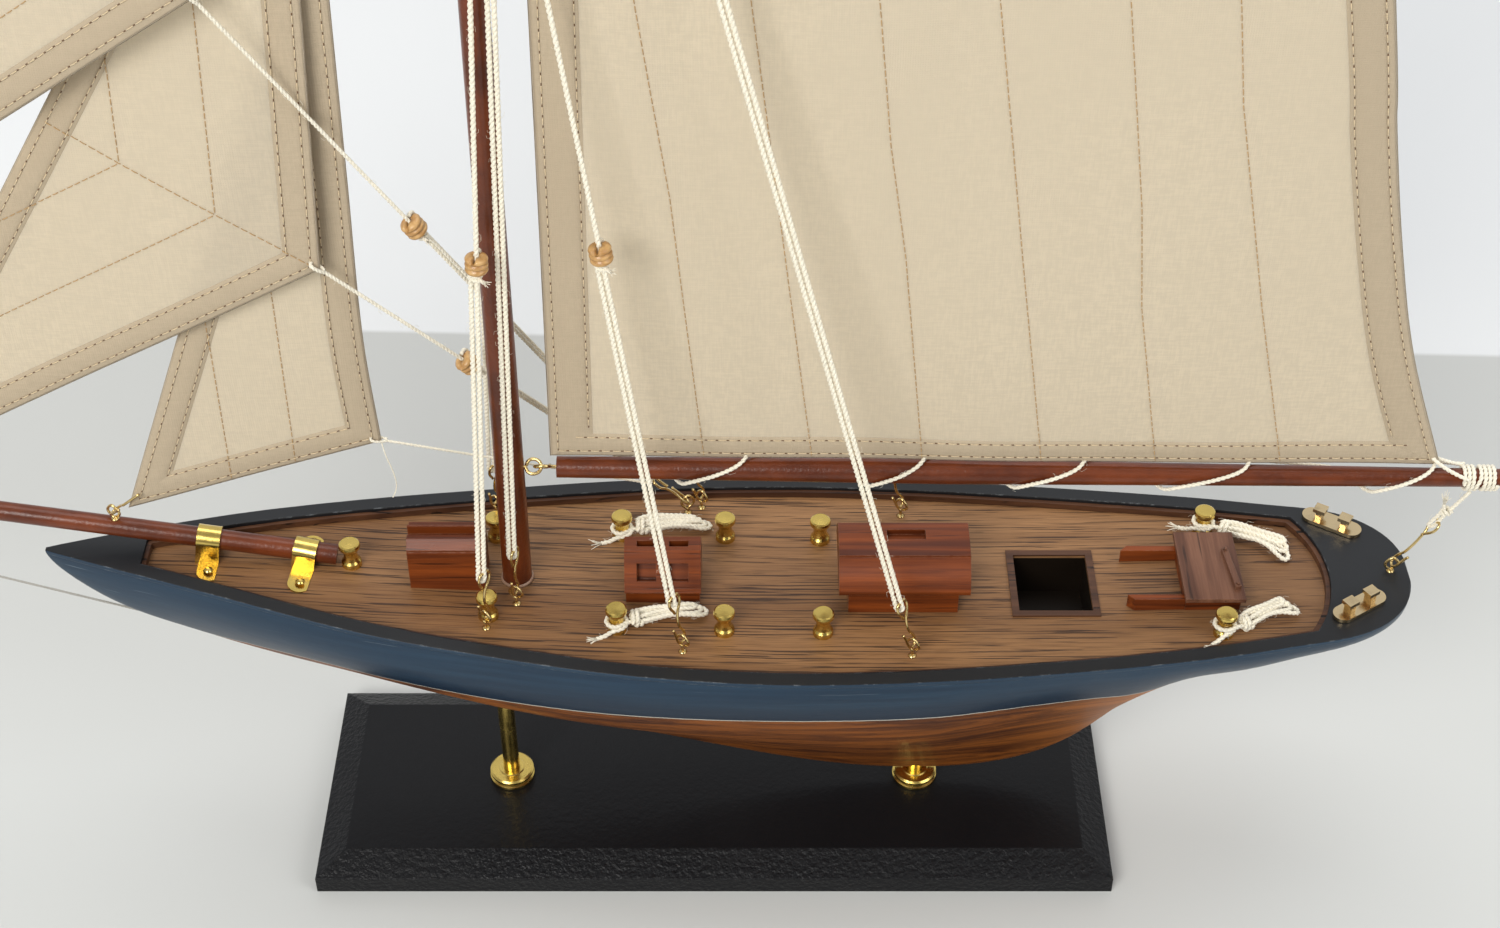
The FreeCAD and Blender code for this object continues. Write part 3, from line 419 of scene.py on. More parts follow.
PAINTS = {
    "base_lacquer": base_lacquer(),
    "hull_paint": hull_paint(),
    "rail_lacquer": rail_lacquer(),
    "deck_veneer": deck_veneer(),
    "lip_wood": grained("lip_wood", (0.050, 0.020, 0.010), (0.110, 0.046, 0.021), 0.45, coat=0.05),
    "house_wood": grained("house_wood", (0.080, 0.015, 0.003), (0.240, 0.052, 0.008), 0.4, coat=0.06,
                          lines=0.6, worn=(0.38, 0.20, 0.12)),
    "box_top_wood": grained("box_top_wood", (0.090, 0.034, 0.018), (0.205, 0.092, 0.052), 0.42, along="Y",
                            coat=0.06, lines=0.7, worn=(0.34, 0.20, 0.13)),
    "spar_varnish": spar_varnish(),
    "brass": metal("brass", (0.74, 0.54, 0.15), 0.2),
    "pale_brass": metal("pale_brass", (0.72, 0.56, 0.33), 0.18),
    "wire_brass": metal("wire_brass", (0.72, 0.54, 0.24), 0.2),
    "sailcloth": sailcloth("sailcloth", (0.80, 0.715, 0.57), 0.45),
    "sail_hem": sailcloth("sail_hem", (0.51, 0.415, 0.295), 0.10),
    "string": fibre("string", (0.92, 0.86, 0.71)),
    "seam_thread": fibre("seam_thread", (0.52, 0.33, 0.15)),
    "hem_thread": fibre("hem_thread", (0.70, 0.56, 0.36)),
    # the thread really passes through the cloth between stitches; its dark dash there is painted shade
    "needle_hole_shade": fibre("needle_hole_shade", (0.17, 0.09, 0.04)),
    "grey_thread": fibre("grey_thread", (0.42, 0.40, 0.36)),
    "bead_wood": bead_wood(),
    "pale_glue": pale_glue(),
}


def dress_nodes():
    """Each CAD node gets its slot's finish."""
    slots = {sub["node"]: sub["material_slot"] for sub in frame["record"]["subparts"]}
    for name, node in NODES.items():
        node.data.materials.clear()
        node.data.materials.append(PAINTS[slots[name]].material)


# ---------------------------------------------------------------- mesh helpers
def route(points):
    """Points of the smooth NURBS line that has these control points."""
    curve = bpy.data.curves.new("route", "CURVE")
    curve.dimensions = "3D"
    spline = curve.splines.new("NURBS")
    spline.points.add(len(points) - 1)
    for target, point in zip(spline.points, points):
        target.co = (*point, 1)
    spline.order_u = 3
    spline.use_endpoint_u = True
    holder = bpy.data.objects.new("route", curve)
    mesh = bpy.data.meshes.new_from_object(holder)
    line = [vertex.co.copy() for vertex in mesh.vertices]
    bpy.data.objects.remove(holder)
    bpy.data.meshes.remove(mesh)
    bpy.data.curves.remove(curve)
    return line


def evenly(line, step):
    """The same line with points an equal distance apart."""
    lengths = [(b - a).length for a, b in zip(line, line[1:])]
    total = sum(lengths)
    count = max(2, round(total / step))
    out = []
    i = 0
    passed = 0.0
    for k in range(count + 1):
        want = total * k / count
        while i < len(lengths) - 1 and passed + lengths[i] < want:
            passed += lengths[i]
            i += 1
        share = (want - passed) / max(lengths[i], 1e-12)
        out.append(line[i].lerp(line[i + 1], min(1.0, share)))
    return out


def cross_pairs(line):
    """Two cross directions at each point, carried along the line without twist."""
    last = len(line) - 1
    tangents = [(line[min(i + 1, last)] - line[max(i - 1, 0)]).normalized() for i in range(last + 1)]
    side = tangents[0].orthogonal().normalized()
    pairs = []
    for tangent in tangents:
        side = (side - tangent * side.dot(tangent)).normalized()
        pairs.append((side, tangent.cross(side)))
    return pairs


class Form:
    """Vertices and faces of one piece, in metres."""

    def __init__(self):
        self.points = []
        self.faces = []

    def rings(self, rings):
        """Skin between rings of equal size, with end caps."""
        first = len(self.points)
        sides = len(rings[0])
        for ring in rings:
            self.points.extend(ring)
        count = len(rings)
        for i in range(count - 1):
            here = first + i * sides
            there = here + sides
            for j in range(sides):
                k = (j + 1) % sides
                self.faces.append((here + j, here + k, there + k, there + j))
        self.faces.append(tuple(first + j for j in reversed(range(sides))))
        self.faces.append(tuple(first + (count - 1) * sides + j for j in range(sides)))

    def tube(self, line, radius, sides=8):
        """Round tube; radius is in metres, or a function of the share along the line."""
        rings = []
        last = len(line) - 1
        for i, (point, (a, b)) in enumerate(zip(line, cross_pairs(line))):
            r = radius(i / last) if callable(radius) else radius
            ring = []
            for j in range(sides):
                angle = 2 * math.pi * j / sides
                ring.append(point + (a * math.cos(angle) + b * math.sin(angle)) * r)
            rings.append(ring)
        self.rings(rings)

    def string(self, line, radius, pitch=2.6 * MM, fuzz=0.0):
        """Twisted string: plies wound round the line, with stray fibres."""
        line = evenly(line, pitch / STEPS_PER_TWIST)
        pairs = cross_pairs(line)
        reach = 0.36 * radius
        for ply in range(PLIES):
            wound = []
            for i, (point, (a, b)) in enumerate(zip(line, pairs)):
                angle = 2 * math.pi * (i / STEPS_PER_TWIST + ply / PLIES)
                wound.append(point + (a * math.cos(angle) + b * math.sin(angle)) * reach)
            self.tube(wound, 0.68 * radius, 6)
        if fuzz:
            for point, (a, b) in zip(line, pairs):
                if RANDOM.random() < fuzz:
                    self.fibre(point, a, b, radius)

    def fibre(self, point, a, b, radius):
        """One stray hair that curls off a string's surface."""
        angle = RANDOM.uniform(0, 2 * math.pi)
        out = a * math.cos(angle) + b * math.sin(angle)
        lean = a.cross(b) * RANDOM.uniform(-1.5, 1.5) * MM
        reach = RANDOM.uniform(0.5, 1.3) * MM
        start = point + out * radius * 0.8
        middle = start + out * reach * 0.6 + lean * 0.3
        self.tube([start, middle, middle + lean + out * reach * 0.1], 0.03 * MM, 3)

    def fray(self, end, direction, radius, length=3.2 * MM, count=9):
        """A cut end that has opened into loose fibres."""
        a = direction.orthogonal().normalized()
        b = direction.cross(a)
        for k in range(count):
            angle = 2 * math.pi * k / count + RANDOM.uniform(-0.3, 0.3)
            out = a * math.cos(angle) + b * math.sin(angle)
            spread = RANDOM.uniform(0.2, 0.75)
            size = length * RANDOM.uniform(0.6, 1.0)
            start = end + out * radius * 0.45
            middle = start + (direction + out * spread * 0.5) * size * 0.5
            tip = middle + (direction + out * spread) * size * 0.5
            self.tube([start, middle, tip], lambda s: (0.26 - 0.16 * s) * radius * 1.1, 5)

    def turned(self, profile, place, direction, segments=28, notch=None):
        """Revolved outline of (radius, height) in millimetres about a direction."""
        a = direction.orthogonal().normalized()
        b = direction.cross(a)
        rings = []
        for j in range(segments):
            angle = 2 * math.pi * j / segments
            out = a * math.cos(angle) + b * math.sin(angle)
            ring = []
            for r, h in profile:
                if notch:
                    r, h = notch(angle, r, h)
                ring.append(place + out * r * MM + direction * h * MM)
            rings.append(ring)
        first = len(self.points)
        size = len(profile)
        for ring in rings:
            self.points.extend(ring)
        for i in range(segments):
            here = first + i * size
            there = first + (i + 1) % segments * size
            for j in range(size):
                k = (j + 1) % size
                self.faces.append((here + j, there + j, there + k, here + k))

    def make(self, name, body, paint, replaces=()):
        mesh = bpy.data.meshes.new(name)
        mesh.from_pydata(self.points, [], self.faces)
        mesh.materials.append(PAINTS[paint].material)
        mesh.shade_smooth()
        mesh.update()
        made = bpy.data.objects.new(name, mesh)
        SCENE.collection.objects.link(made)
        if replaces:
            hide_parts(*replaces)
        if body:
            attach(made, body)
        return made


def surface_tree(*names):
    points = []
    faces = []
    for name in names:
        first = len(points)
        points.extend(vertex.co for vertex in NODES[name].data.vertices)
        faces.extend(tuple(first + i for i in face.vertices) for face in NODES[name].data.polygons)
    return BVHTree.FromPolygons(points, faces)


DECK = surface_tree("deck", "hull", "rail_cap")


def deck_z(x, y):
    """Height of the deck under a point, in millimetres."""
    hit = DECK.ray_cast(mm(x, y, ABOVE_DECK_Z), -UP)[0]
    return hit.z / MM


def mast_point(z, x=0.0, y=0.0):
    return mm(MAST_FOOT[0] + MAST_RAKE * (z - MAST_FOOT[1]) + x, y, z)


def along(start, end, x):
    """Height of a spar at x, from its two ends (x, z)."""
    return start[1] + (x - start[0]) / (end[0] - start[0]) * (end[1] - start[1])


def boom_z(x):
    return along(BOOM_START, BOOM_END, x)


def bowsprit_point(x, above=0.0):
    return mm(x, BOWSPRIT_Y, BOWSPRIT_HEEL[1] + BOWSPRIT_SLOPE * (x - BOWSPRIT_HEEL[0]) + above)


# ---------------------------------------------------------------- coiled hanks
CORD = 1.15                    # diameter of the cord in the hanks
BOLLARD_WAIST = 1.65
HANK_TAIL = ((-5.4, -2.7, 0.1), (-4.3, -2.4, 0.0), (-3.1, -2.3, 0.3), (-1.9, -2.4, 1.3))
WRAP_START = 255               # degrees at which the cord meets its bollard
WRAP_STEP = 31.25
WRAP_STEPS = 13
HANKS = {
    # name: bollard, hank's near end, hank's far end, turns, half widths at both ends, fan of the far loops
    "rope_hank_mid_port": ((-22.4, -16.0), (-19.2, -14.6), (-1.2, -10.5), 3, 1.2, 2.9, 0.5),
    "rope_hank_mid_starboard": ((-22.4, 15.8), (-19.0, 17.3), (-0.6, 19.0), 4, 1.2, 2.6, 0.3),
    "rope_hank_stern_port": ((121.2, -17.2), (125.0, -16.2), (138.8, -9.2), 3, 1.4, 3.8, 1.7),
    "rope_hank_stern_starboard": ((121.2, 17.9), (125.4, 17.2), (141.6, 8.6), 3, 1.2, 4.0, 2.2),
}


def hank_points(bollard, near, far, turns, narrow, wide, fan):
    """Control points of one hank's cord: tail, one turn round the bollard, then long flat coils."""
    nx, ny = near
    length = math.hypot(far[0] - nx, far[1] - ny)
    ex = (far[0] - nx) / length
    ey = (far[1] - ny) / length
    floor = deck_z((nx + far[0]) / 2, (ny + far[1]) / 2)

    def local(a, s, h):
        return mm(nx + a * ex - s * ey, ny + a * ey + s * ex, floor + CORD / 2 + h)

    away = Vector((bollard[0] - nx, bollard[1] - ny))
    ba = away.x * ex + away.y * ey
    bs = away.y * ex - away.x * ey
    points = [local(ba + a, bs + side, h) for a, side, h in HANK_TAIL]
    reach = 1.06 * (BOLLARD_WAIST + 0.62 * CORD)
    for k in range(WRAP_STEPS):
        angle = math.radians(WRAP_START + WRAP_STEP * k)
        points.append(local(ba + reach * math.cos(angle), bs + reach * math.sin(angle), 1.7 + 0.08 * k))
    points.append(local(-0.8, -1.1, 2.0))
    half = length / 2
    per_turn = 16
    for k in range(2, turns * per_turn + 1):
        turn = k / per_turn
        done = math.floor(turn - 0.01)
        angle = math.pi + 2 * math.pi * turn
        inward = 0.55 * CORD * math.sin(0.9 * turn + 0.4)
        a = half + half * math.cos(angle)
        if a > half:
            a = half + (a - half) * (1 - 0.13 * done)
        share = a / length
        shrink = 1 - 0.26 * done * share
        s = (narrow + (wide - narrow) * share ** 1.5 + 0.4 * inward) * shrink * math.sin(angle)
        s += fan * share * share * (done - (turns - 1) / 2)
        h = 0.25 + 0.80 * turn * (0.55 + 0.45 * (1 - share))
        twist = math.radians(80) * (1 - share) * share * 4 * (1 if turn < turns / 2 else -1)
        across = s * math.cos(twist) - 0.5 * h * math.sin(twist)
        points.append(local(a, across, h + 0.45 * abs(s * math.sin(twist))))
    return points


def make_hank(name, bollard, near, far, turns, narrow, wide, fan):
    line = route(hank_points(bollard, near, far, turns, narrow, wide, fan))
    form = Form()
    form.string(line, CORD / 2 * MM, 2.3 * MM, fuzz=0.3)
    cord = form.make(name + "_cord", ROOT, "string", [name])
    ends = Form()
    ends.fray(line[0], (line[0] - line[2]).normalized(), CORD / 2 * MM)
    ex = Vector((far[0] - near[0], far[1] - near[1], 0)).normalized()
    middle = mm(*near, deck_z(*near) + 1.9) + ex * 1.4 * MM
    tie_loops(ends, middle, ex, 1.75 * MM, 2, CORD / 2 * MM)
    frayed = ends.make(name + "_tie", ROOT, "string")


def tie_loops(form, middle, direction, reach, count, radius):
    """A few tight turns of string round a bundle or a spar."""
    a = direction.cross(UP).normalized()
    b = a.cross(direction)
    points = []
    steps = count * 8
    for k in range(steps + 1):
        angle = 2 * math.pi * k / 8
        shift = direction * radius * 1.9 * (k / 8 - count / 2)
        points.append(middle + shift + (a * math.cos(angle) + b * math.sin(angle)) * reach * 1.07)
    form.string(route(points), radius, 2.3 * MM)


def make_hanks():
    for name, values in HANKS.items():
        make_hank(name, *values)


# ---------------------------------------------------------------- sails
class Sail:
    """A cloth between luff, foot, leech and head, in points (x, z), near the plane of three corners."""

    def __init__(self, name, body, corners, leech, peak, billow, ripples, hem):
        tack, clew, head = ((x, z) for x, _, z in corners)
        leech = [clew] + leech + [peak or head]
        self.name = name
        self.body = body
        self.sides = {"foot": [tack, clew], "leech": leech, "head": [leech[-1], head], "luff": [head, tack]}
        if leech[-1] == head:
            del self.sides["head"]
        self.plane = corners
        self.billow = billow
        self.ripples = ripples
        self.hem = hem
        ring = [tack] + leech
        if leech[-1] != head:
            ring.append(head)
        self.outline = ring
        self.chords = [(tack, clew), (clew, leech[-1]), (leech[-1], head), (head, tack)]
        self.chords = [pair for pair in self.chords if pair[0] != pair[1]]
        self.tack = tack
        self.clew = clew
        self.head = head
        self.peak = leech[-1]

    def side(self, name, t):
        """Point at a share of one side, on a smooth curve through the side's points."""
        if name not in self.sides:
            return self.head
        points = self.sides[name]
        spans = [math.dist(a, b) for a, b in zip(points, points[1:])]
        want = min(max(t, 0.0), 1.0) * sum(spans)
        i = 0
        while i < len(spans) - 1 and want > spans[i]:
            want -= spans[i]
            i += 1
        s = want / spans[i]
        p1 = Vector(points[i])
        p2 = Vector(points[i + 1])
        p0 = Vector(points[i - 1]) if i > 0 else 2 * p1 - p2
        p3 = Vector(points[i + 2]) if i + 2 < len(points) else 2 * p2 - p1
        m1 = (p2 - p0) * 0.5
        m2 = (p3 - p1) * 0.5
        cube = (2 * s ** 3 - 3 * s ** 2 + 1) * p1 + (s ** 3 - 2 * s ** 2 + s) * m1
        cube += (3 * s ** 2 - 2 * s ** 3) * p2 + (s ** 3 - s ** 2) * m2
        return (cube.x, cube.y)

    def spot(self, u, v):
        """Coons patch: u from luff to leech, v from foot to head."""
        foot = Vector(self.side("foot", u))
        head = Vector(self.side("head", 1 - u))
        luff = Vector(self.side("luff", 1 - v))
        leech = Vector(self.side("leech", v))
        tack, clew, top, peak = (Vector(p) for p in (self.tack, self.clew, self.head, self.peak))
        flat = (1 - u) * (1 - v) * tack + u * (1 - v) * clew + (1 - u) * v * top + u * v * peak
        return (1 - v) * foot + v * head + (1 - u) * luff + u * leech - flat

    def inside(self, x, z):
        """0 at the edges and 1 well inside the sail."""
        room = 1.0
        for (ax, az), (bx, bz) in self.chords:
            far = ((bx - ax) * (z - az) - (bz - az) * (x - ax)) / math.hypot(bx - ax, bz - az)
            room *= 1 - math.exp(-max(far, 0.0) / 26)
        return room

    def y(self, x, z):
        (ax, ay, az), (bx, by, bz), (cx, cy, cz) = self.plane
        whole = (bx - ax) * (cz - az) - (cx - ax) * (bz - az)
        p = ((x - ax) * (cz - az) - (cx - ax) * (z - az)) / whole
        q = ((bx - ax) * (z - az) - (x - ax) * (bz - az)) / whole
        flat = ay + p * (by - ay) + q * (cy - ay)
        room = self.inside(x, z)
        rise = -self.billow * room
        for height, across, up, phase in self.ripples:
            rise += height * (0.3 + 0.7 * room) * math.sin(x / across + z / up + phase)
        return flat + rise

    def at(self, point, off=0.0):
        """Place on the cloth, moved off it to port by off millimetres."""
        return mm(point[0], self.y(point[0], point[1]) - off, point[1])

    def edge_distance(self, x, z):
        best = 1e9
        for name in self.sides:
            for k in range(24):
                a = self.side(name, k / 24)
                b = self.side(name, (k + 1) / 24)
                far = abs((b[0] - a[0]) * (z - a[1]) - (b[1] - a[1]) * (x - a[0])) / math.dist(a, b)
                along_it = ((x - a[0]) * (b[0] - a[0]) + (z - a[1]) * (b[1] - a[1])) / math.dist(a, b) ** 2
                if -0.1 <= along_it <= 1.1:
                    best = min(best, far)
        return best

    def inset(self, name, width, widths):
        """Curve a set distance inside one side, ending on the mitres with its neighbours."""
        names = list(self.sides)
        i = names.index(name)
        before = names[i - 1]
        after = names[(i + 1) % len(names)]
        long = sum(math.dist(a, b) for a, b in zip(self.sides[name], self.sides[name][1:]))

        def corner(here, here_next, other, other_next, other_width):
            u = (Vector(here_next) - Vector(here)).normalized()
            w = (Vector(other_next) - Vector(other)).normalized()
            cosine = u.dot(w)
            return (other_width + width * cosine) / math.sqrt(1 - cosine * cosine)

        start = corner(self.side(name, 0), self.side(name, 0.1), self.side(before, 1), self.side(before, 0.9),
                       widths[before])
        end = corner(self.side(name, 1), self.side(name, 0.9), self.side(after, 0), self.side(after, 0.1),
                     widths[after])
        count = max(6, round(long / 3))
        curve = []
        for k in range(count + 1):
            t = (start + (long - start - end) * k / count) / long
            here = Vector(self.side(name, t))
            ahead = Vector(self.side(name, min(t + 0.01, 1.0))) - Vector(self.side(name, max(t - 0.01, 0.0)))
            inward = Vector((-ahead.y, ahead.x)).normalized()
            curve.append(here + inward * width)
        return curve

    def cloth(self):
        form = Form()
        across = 64
        upward = 64
        for j in range(upward + 1):
            for i in range(across + 1):
                form.points.append(self.at(self.spot(i / across, j / upward)))
        row = across + 1
        for j in range(upward):
            for i in range(across):
                a = j * row + i
                form.faces.append((a, a + 1, a + row + 1, a + row))
        made = form.make(self.name + "_cloth", None, "sailcloth", [self.name])
        mesh = bmesh.new()
        mesh.from_mesh(made.data)
        bmesh.ops.remove_doubles(mesh, verts=mesh.verts, dist=1e-6)
        mesh.to_mesh(made.data)
        mesh.free()
        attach(made, self.body)
        thick = made.modifiers.new("thickness", "SOLIDIFY")
        thick.thickness = 0.3 * MM
        thick.offset = 0
        return made

    def hems(self):
        """A folded band round every side, on both faces of the cloth."""
        form = Form()
        fold = ((1.0, 0.16), (0.97, 0.40), (0.55, 0.44), (0.08, 0.40), (-0.03, 0.0),
                (0.08, -0.40), (0.55, -0.44), (0.97, -0.40), (1.0, -0.16))
        for name in self.sides:
            inner = self.inset(name, self.hem[name], self.hem)
            count = len(inner) - 1
            first = len(form.points)
            for k in range(count + 1):
                outer = Vector(self.side(name, k / count))
                for share, off in fold:
                    spot = outer.lerp(inner[k], share)
                    form.points.append(self.at(spot, off))
            rows = len(fold)
            for k in range(count):
                for j in range(rows - 1):
                    a = first + k * rows + j
                    form.faces.append((a, a + 1, a + rows + 1, a + rows))
        return form.make(self.name + "_hem", self.body, "sail_hem")

    def stitch(self, form, curve, long=1.7, gap=0.55, bold=0.13, hole_shades=None):
        """Separate stitches along a curve of (x, z), on both faces, with dark dashes between them where the
        thread goes through the cloth: painted shade.
        """
        curve = [Vector((p[0], p[1], 0)) for p in curve]
        total = sum((b - a).length for a, b in zip(curve, curve[1:]))
        count = max(1, int(total / (long + gap)))
        spots = evenly(curve, total / (count * 4))
        for k in range(count):
            trio = spots[4 * k:4 * k + 4]
            if len(trio) < 4:
                continue
            on_hem = self.edge_distance(trio[1].x, trio[1].y) < max(self.hem.values())
            lift = 0.47 if on_hem else 0.17
            for face in (1, -1):
                line = [self.at(trio[0], face * lift), self.at(trio[1], face * (lift + 0.13)),
                        self.at(trio[2], face * (lift + 0.13)), self.at(trio[3], face * lift)]
                form.tube(line, bold * MM, 5)
                # dark dash to the next stitch: painted shade where the thread goes through the cloth
                if hole_shades and 4 * k + 4 < len(spots):
                    hole_shade = [self.at(trio[3], face * lift), self.at(spots[4 * k + 4], face * lift)]
                    hole_shades.tube(hole_shade, 1.1 * bold * MM, 4)

    def hem_stitches(self):
        form = Form()
        hole_shades = Form()
        for name in self.sides:
            width = self.hem[name]
            for inset in (1.7, width - 0.9):
                curve = self.inset(name, inset, {key: inset for key in self.hem})
                self.stitch(form, curve, 1.9, 0.6, 0.14, hole_shades)
        # the dark dashes between stitches: painted shade
        hole_shades.make(self.name + "_needle_hole_shades", self.body, "needle_hole_shade")
        return form.make(self.name + "_hem_stitches", self.body, "hem_thread")

    def seams(self, curves):
        form = Form()
        for curve in curves:
            self.stitch(form, curve, 1.5, 0.4, 0.11)
        return form.make(self.name + "_seams", self.body, "seam_thread")

    def build(self, curves):
        made = self.cloth()
        pieces = [self.hems(), self.hem_stitches(), self.seams(curves)]


def crossing(start, direction, a, b):
    """Where a ray from start meets the line a to b, in (x, z)."""
    start, direction, a, b = (Vector(p) for p in (start, direction, a, b))
    side = b - a
    bottom = direction.x * side.y - direction.y * side.x
    t = ((a.x - start.x) * side.y - (a.y - start.y) * side.x) / bottom
    return start + direction * t


def between_points(a, b, count=24):
    return [Vector(a).lerp(Vector(b), k / count) for k in range(count + 1)]


def mitre_seams(sail, shares, lean):
    """Seam from the clew to the luff, and panels that meet on it, parallel to leech and foot."""
    tack, clew, head = (Vector(p) for p in (sail.tack, sail.clew, sail.head))
    to_head = (head - clew).normalized()
    to_tack = (tack - clew).normalized()
    middle = (to_head * lean + to_tack).normalized()
    end = crossing(clew, middle, tack, head)
    curves = [between_points(clew + middle * 1.5, end - middle * 1.0, 30)]
    for share in shares:
        knot = clew.lerp(end, share)
        for way in (to_head, to_tack):
            far = crossing(knot, way, tack, head)
            curves.append(between_points(knot + way * 0.5, far - way * 1.0, 30))
    return curves


def make_mainsail():
    leech = [(156.0, 150.8), (148.1, 179.5), (141.2, 209.9), (135.2, 240.3)]
    peak = (99.8, 403.4)
    ripples = ((0.5, 9.0, 34.0, 0.4), (0.4, 17.0, -60.0, 1.9), (0.8, 38.0, 55.0, 0.2))
    hem = {"foot": 6.8, "leech": 9.4, "head": 8.0, "luff": 9.8}
    sail = Sail("mainsail", BOOM_BODY, MAINSAIL, leech, peak, 3.0, ripples, hem)
    panels = [[(-1.5, 121.2), (-7.6, 195.1), (-13.4, 240.3)],
              [(23.3, 121.0), (13.2, 208.8), (9.5, 240.3)],
              [(48.7, 120.6), (42.2, 179.6), (37.8, 208.8), (34.5, 240.3)],
              [(76.1, 120.2), (67.2, 178.2), (58.0, 240.3)],
              [(102.4, 119.9), (93.8, 166.1), (90.8, 192.6), (83.4, 240.3)],
              [(131.3, 119.5), (119.9, 166.1), (108.6, 217.3), (105.0, 240.3)]]
    curves = []
    for panel in panels:
        way = Vector(panel[-1]) - Vector(panel[0])
        top = crossing(panel[-1], way, sail.peak, sail.head)
        points = panel + [tuple(top - way.normalized() * 1.2)]
        curve = []
        for a, b in zip(points, points[1:]):
            curve.extend(between_points(a, b, 20)[:-1])
        curves.append(curve)
    sail.build(curves)


def make_staysail():
    leech = [(-77.0, 153.7), (-75.5, 193.8), (-73.7, 239.7)]
    ripples = ((0.4, 11.0, 30.0, 0.9), (0.35, 23.0, -26.0, 0.3))
    hem = {"foot": 7.2, "leech": 7.4, "luff": 7.2}
    sail = Sail("staysail", ROOT, STAYSAIL, leech, None, 2.0, ripples, hem)
    curves = []
    for x in (-112.1, -96.6):
        foot = crossing((x, 0), (0, 1), sail.tack, sail.clew)
        top = crossing(foot, (0.03, 1), sail.tack, sail.head)
        curves.append(between_points(foot + Vector((0, 0.7)), top - Vector((0, 1.5))))
    sail.build(curves)


def make_mitred(name, corners, ripples, hem, seams, lean):
    """One of the two headsails whose panels meet on a seam from the clew."""
    sail = Sail(name, ROOT, corners, [], None, 2.5, ripples, hem)
    sail.build(mitre_seams(sail, seams, lean))


def make_jibs():
    make_mitred("jib", JIB, ((0.5, 13.0, 37.0, 2.2), (0.5, 27.0, -31.0, 0.0)),
                {"foot": 7.2, "leech": 7.6, "luff": 7.2}, (0.38, 0.72), 1.04)
    make_mitred("flying_jib", FLYING_JIB, ((0.5, 15.0, 33.0, 1.2), (0.6, 31.0, -37.0, 0.7)),
                {"foot": 7.4, "leech": 7.8, "luff": 7.4}, (0.26, 0.5, 0.74), 1.0)


# ---------------------------------------------------------------- bent-wire fittings
def bent(form, shape, origin, side, up, out, radius):
    """Wire through (side, up, out) offsets in millimetres from an origin."""
    line = [origin + (side * s + up * u + out * o) * MM for s, u, o in shape]
    form.tube(route(line), radius * MM, 8)


def wire_eye(form, foot, turn, rise=EYE_RISE):
    """Screw eye that stands on a surface; returns its ring's centre and axis."""
    center = foot + UP * rise * MM
    axis = Vector((math.sin(math.radians(turn)), math.cos(math.radians(turn)), 0))
    side = axis.cross(UP)
    shape = [(0, -rise - 0.7, 0), (0, -rise + 0.2, 0), (-0.1, -1.9, 0), (-0.9, -1.35, 0), (-1.85, -0.1, 0),
             (-1.0, 1.35, 0), (0, 2.15, 0), (1.0, 1.35, 0), (1.85, -0.1, 0.1), (0.95, -1.3, 0.35),
             (0.2, -1.85, 0.6)]
    bent(form, shape, center, side, UP, axis, WIRE)
    profile = [(0.2, -0.25), (0.95, -0.2), (1.05, 0.05), (0.7, 0.3), (0.36, 0.5), (0.2, 0.5)]
    form.turned(profile, foot, UP, 14)
    return center, axis


def wire_hook(form, center, target, eye_axis, top=HOOK_LENGTH):
    """Open hook through a screw eye, with a heart-shaped loop at the top; returns where the line starts."""
    line = (target - center).normalized()
    axis = line.cross(eye_axis).normalized()
    side = line.cross(axis)
    low = center + line * HOOK_START * MM
    shape = [(2.3, 3.6, 0), (1.95, 2.6, 0), (1.75, 1.0, 0), (1.5, -0.9, 0), (0.5, -1.85, 0), (-0.8, -1.6, 0),
             (-1.35, -0.4, 0), (-0.9, 1.4, 0), (0.05, 3.0, 0), (0.15, 0.5 * top, 0), (-0.2, top - 3.6, 0),
             (-0.45, top - 2.6, -0.1), (-1.25, top - 1.4, -0.15), (-1.95, top + 0.3, -0.1),
             (-1.5, top + 1.9, 0), (-0.45, top + 1.95, 0), (0.0, top + 1.35, 0), (0.45, top + 1.95, 0),
             (1.5, top + 1.9, 0),
             (1.95, top + 0.3, 0), (1.25, top - 1.4, 0.15), (0.45, top - 2.5, 0.35), (0.1, top - 3.4, 0.55)]
    if top < SHORT_HOOK:
        shape = shape[:9] + [(0.1, 3.6, 0), (0.0, top + 1.0, 0), (-0.5, top + 5.4, 0)]
    bent(form, shape, low, side, line, axis, WIRE)
    return low + line * (top + RING + WIRE + 0.1) * MM


def turn_across(foot, target):
    return math.degrees(math.atan2(-(target - foot).y, (target - foot).x))


# ---------------------------------------------------------------- beads
BEAD_PROFILE = [(0.7, -2.1), (1.75, -2.1), (2.25, -1.75), (2.5, -1.25), (2.45, -0.85), (2.05, -0.62),
                (2.05, -0.5),
                (2.45, -0.3), (2.5, 0.1), (2.42, 0.42), (2.05, 0.58), (2.05, 0.7), (2.42, 0.92), (2.5, 1.35),
                (2.3, 1.8), (1.8, 2.1), (0.7, 2.1), (0.7, 0.0)]


def notch(angle, r, h):
    """Two slots cut in the bead's upper rim, where its line is hitched."""
    for middle in (0.6, 3.6):
        away = abs((angle - middle + math.pi) % (2 * math.pi) - math.pi)
        if away < 0.36 and h > 0.9:
            h -= (0.36 - away) / 0.36 * 1.5 * (h - 0.9)
            r *= 0.93
    return r, h


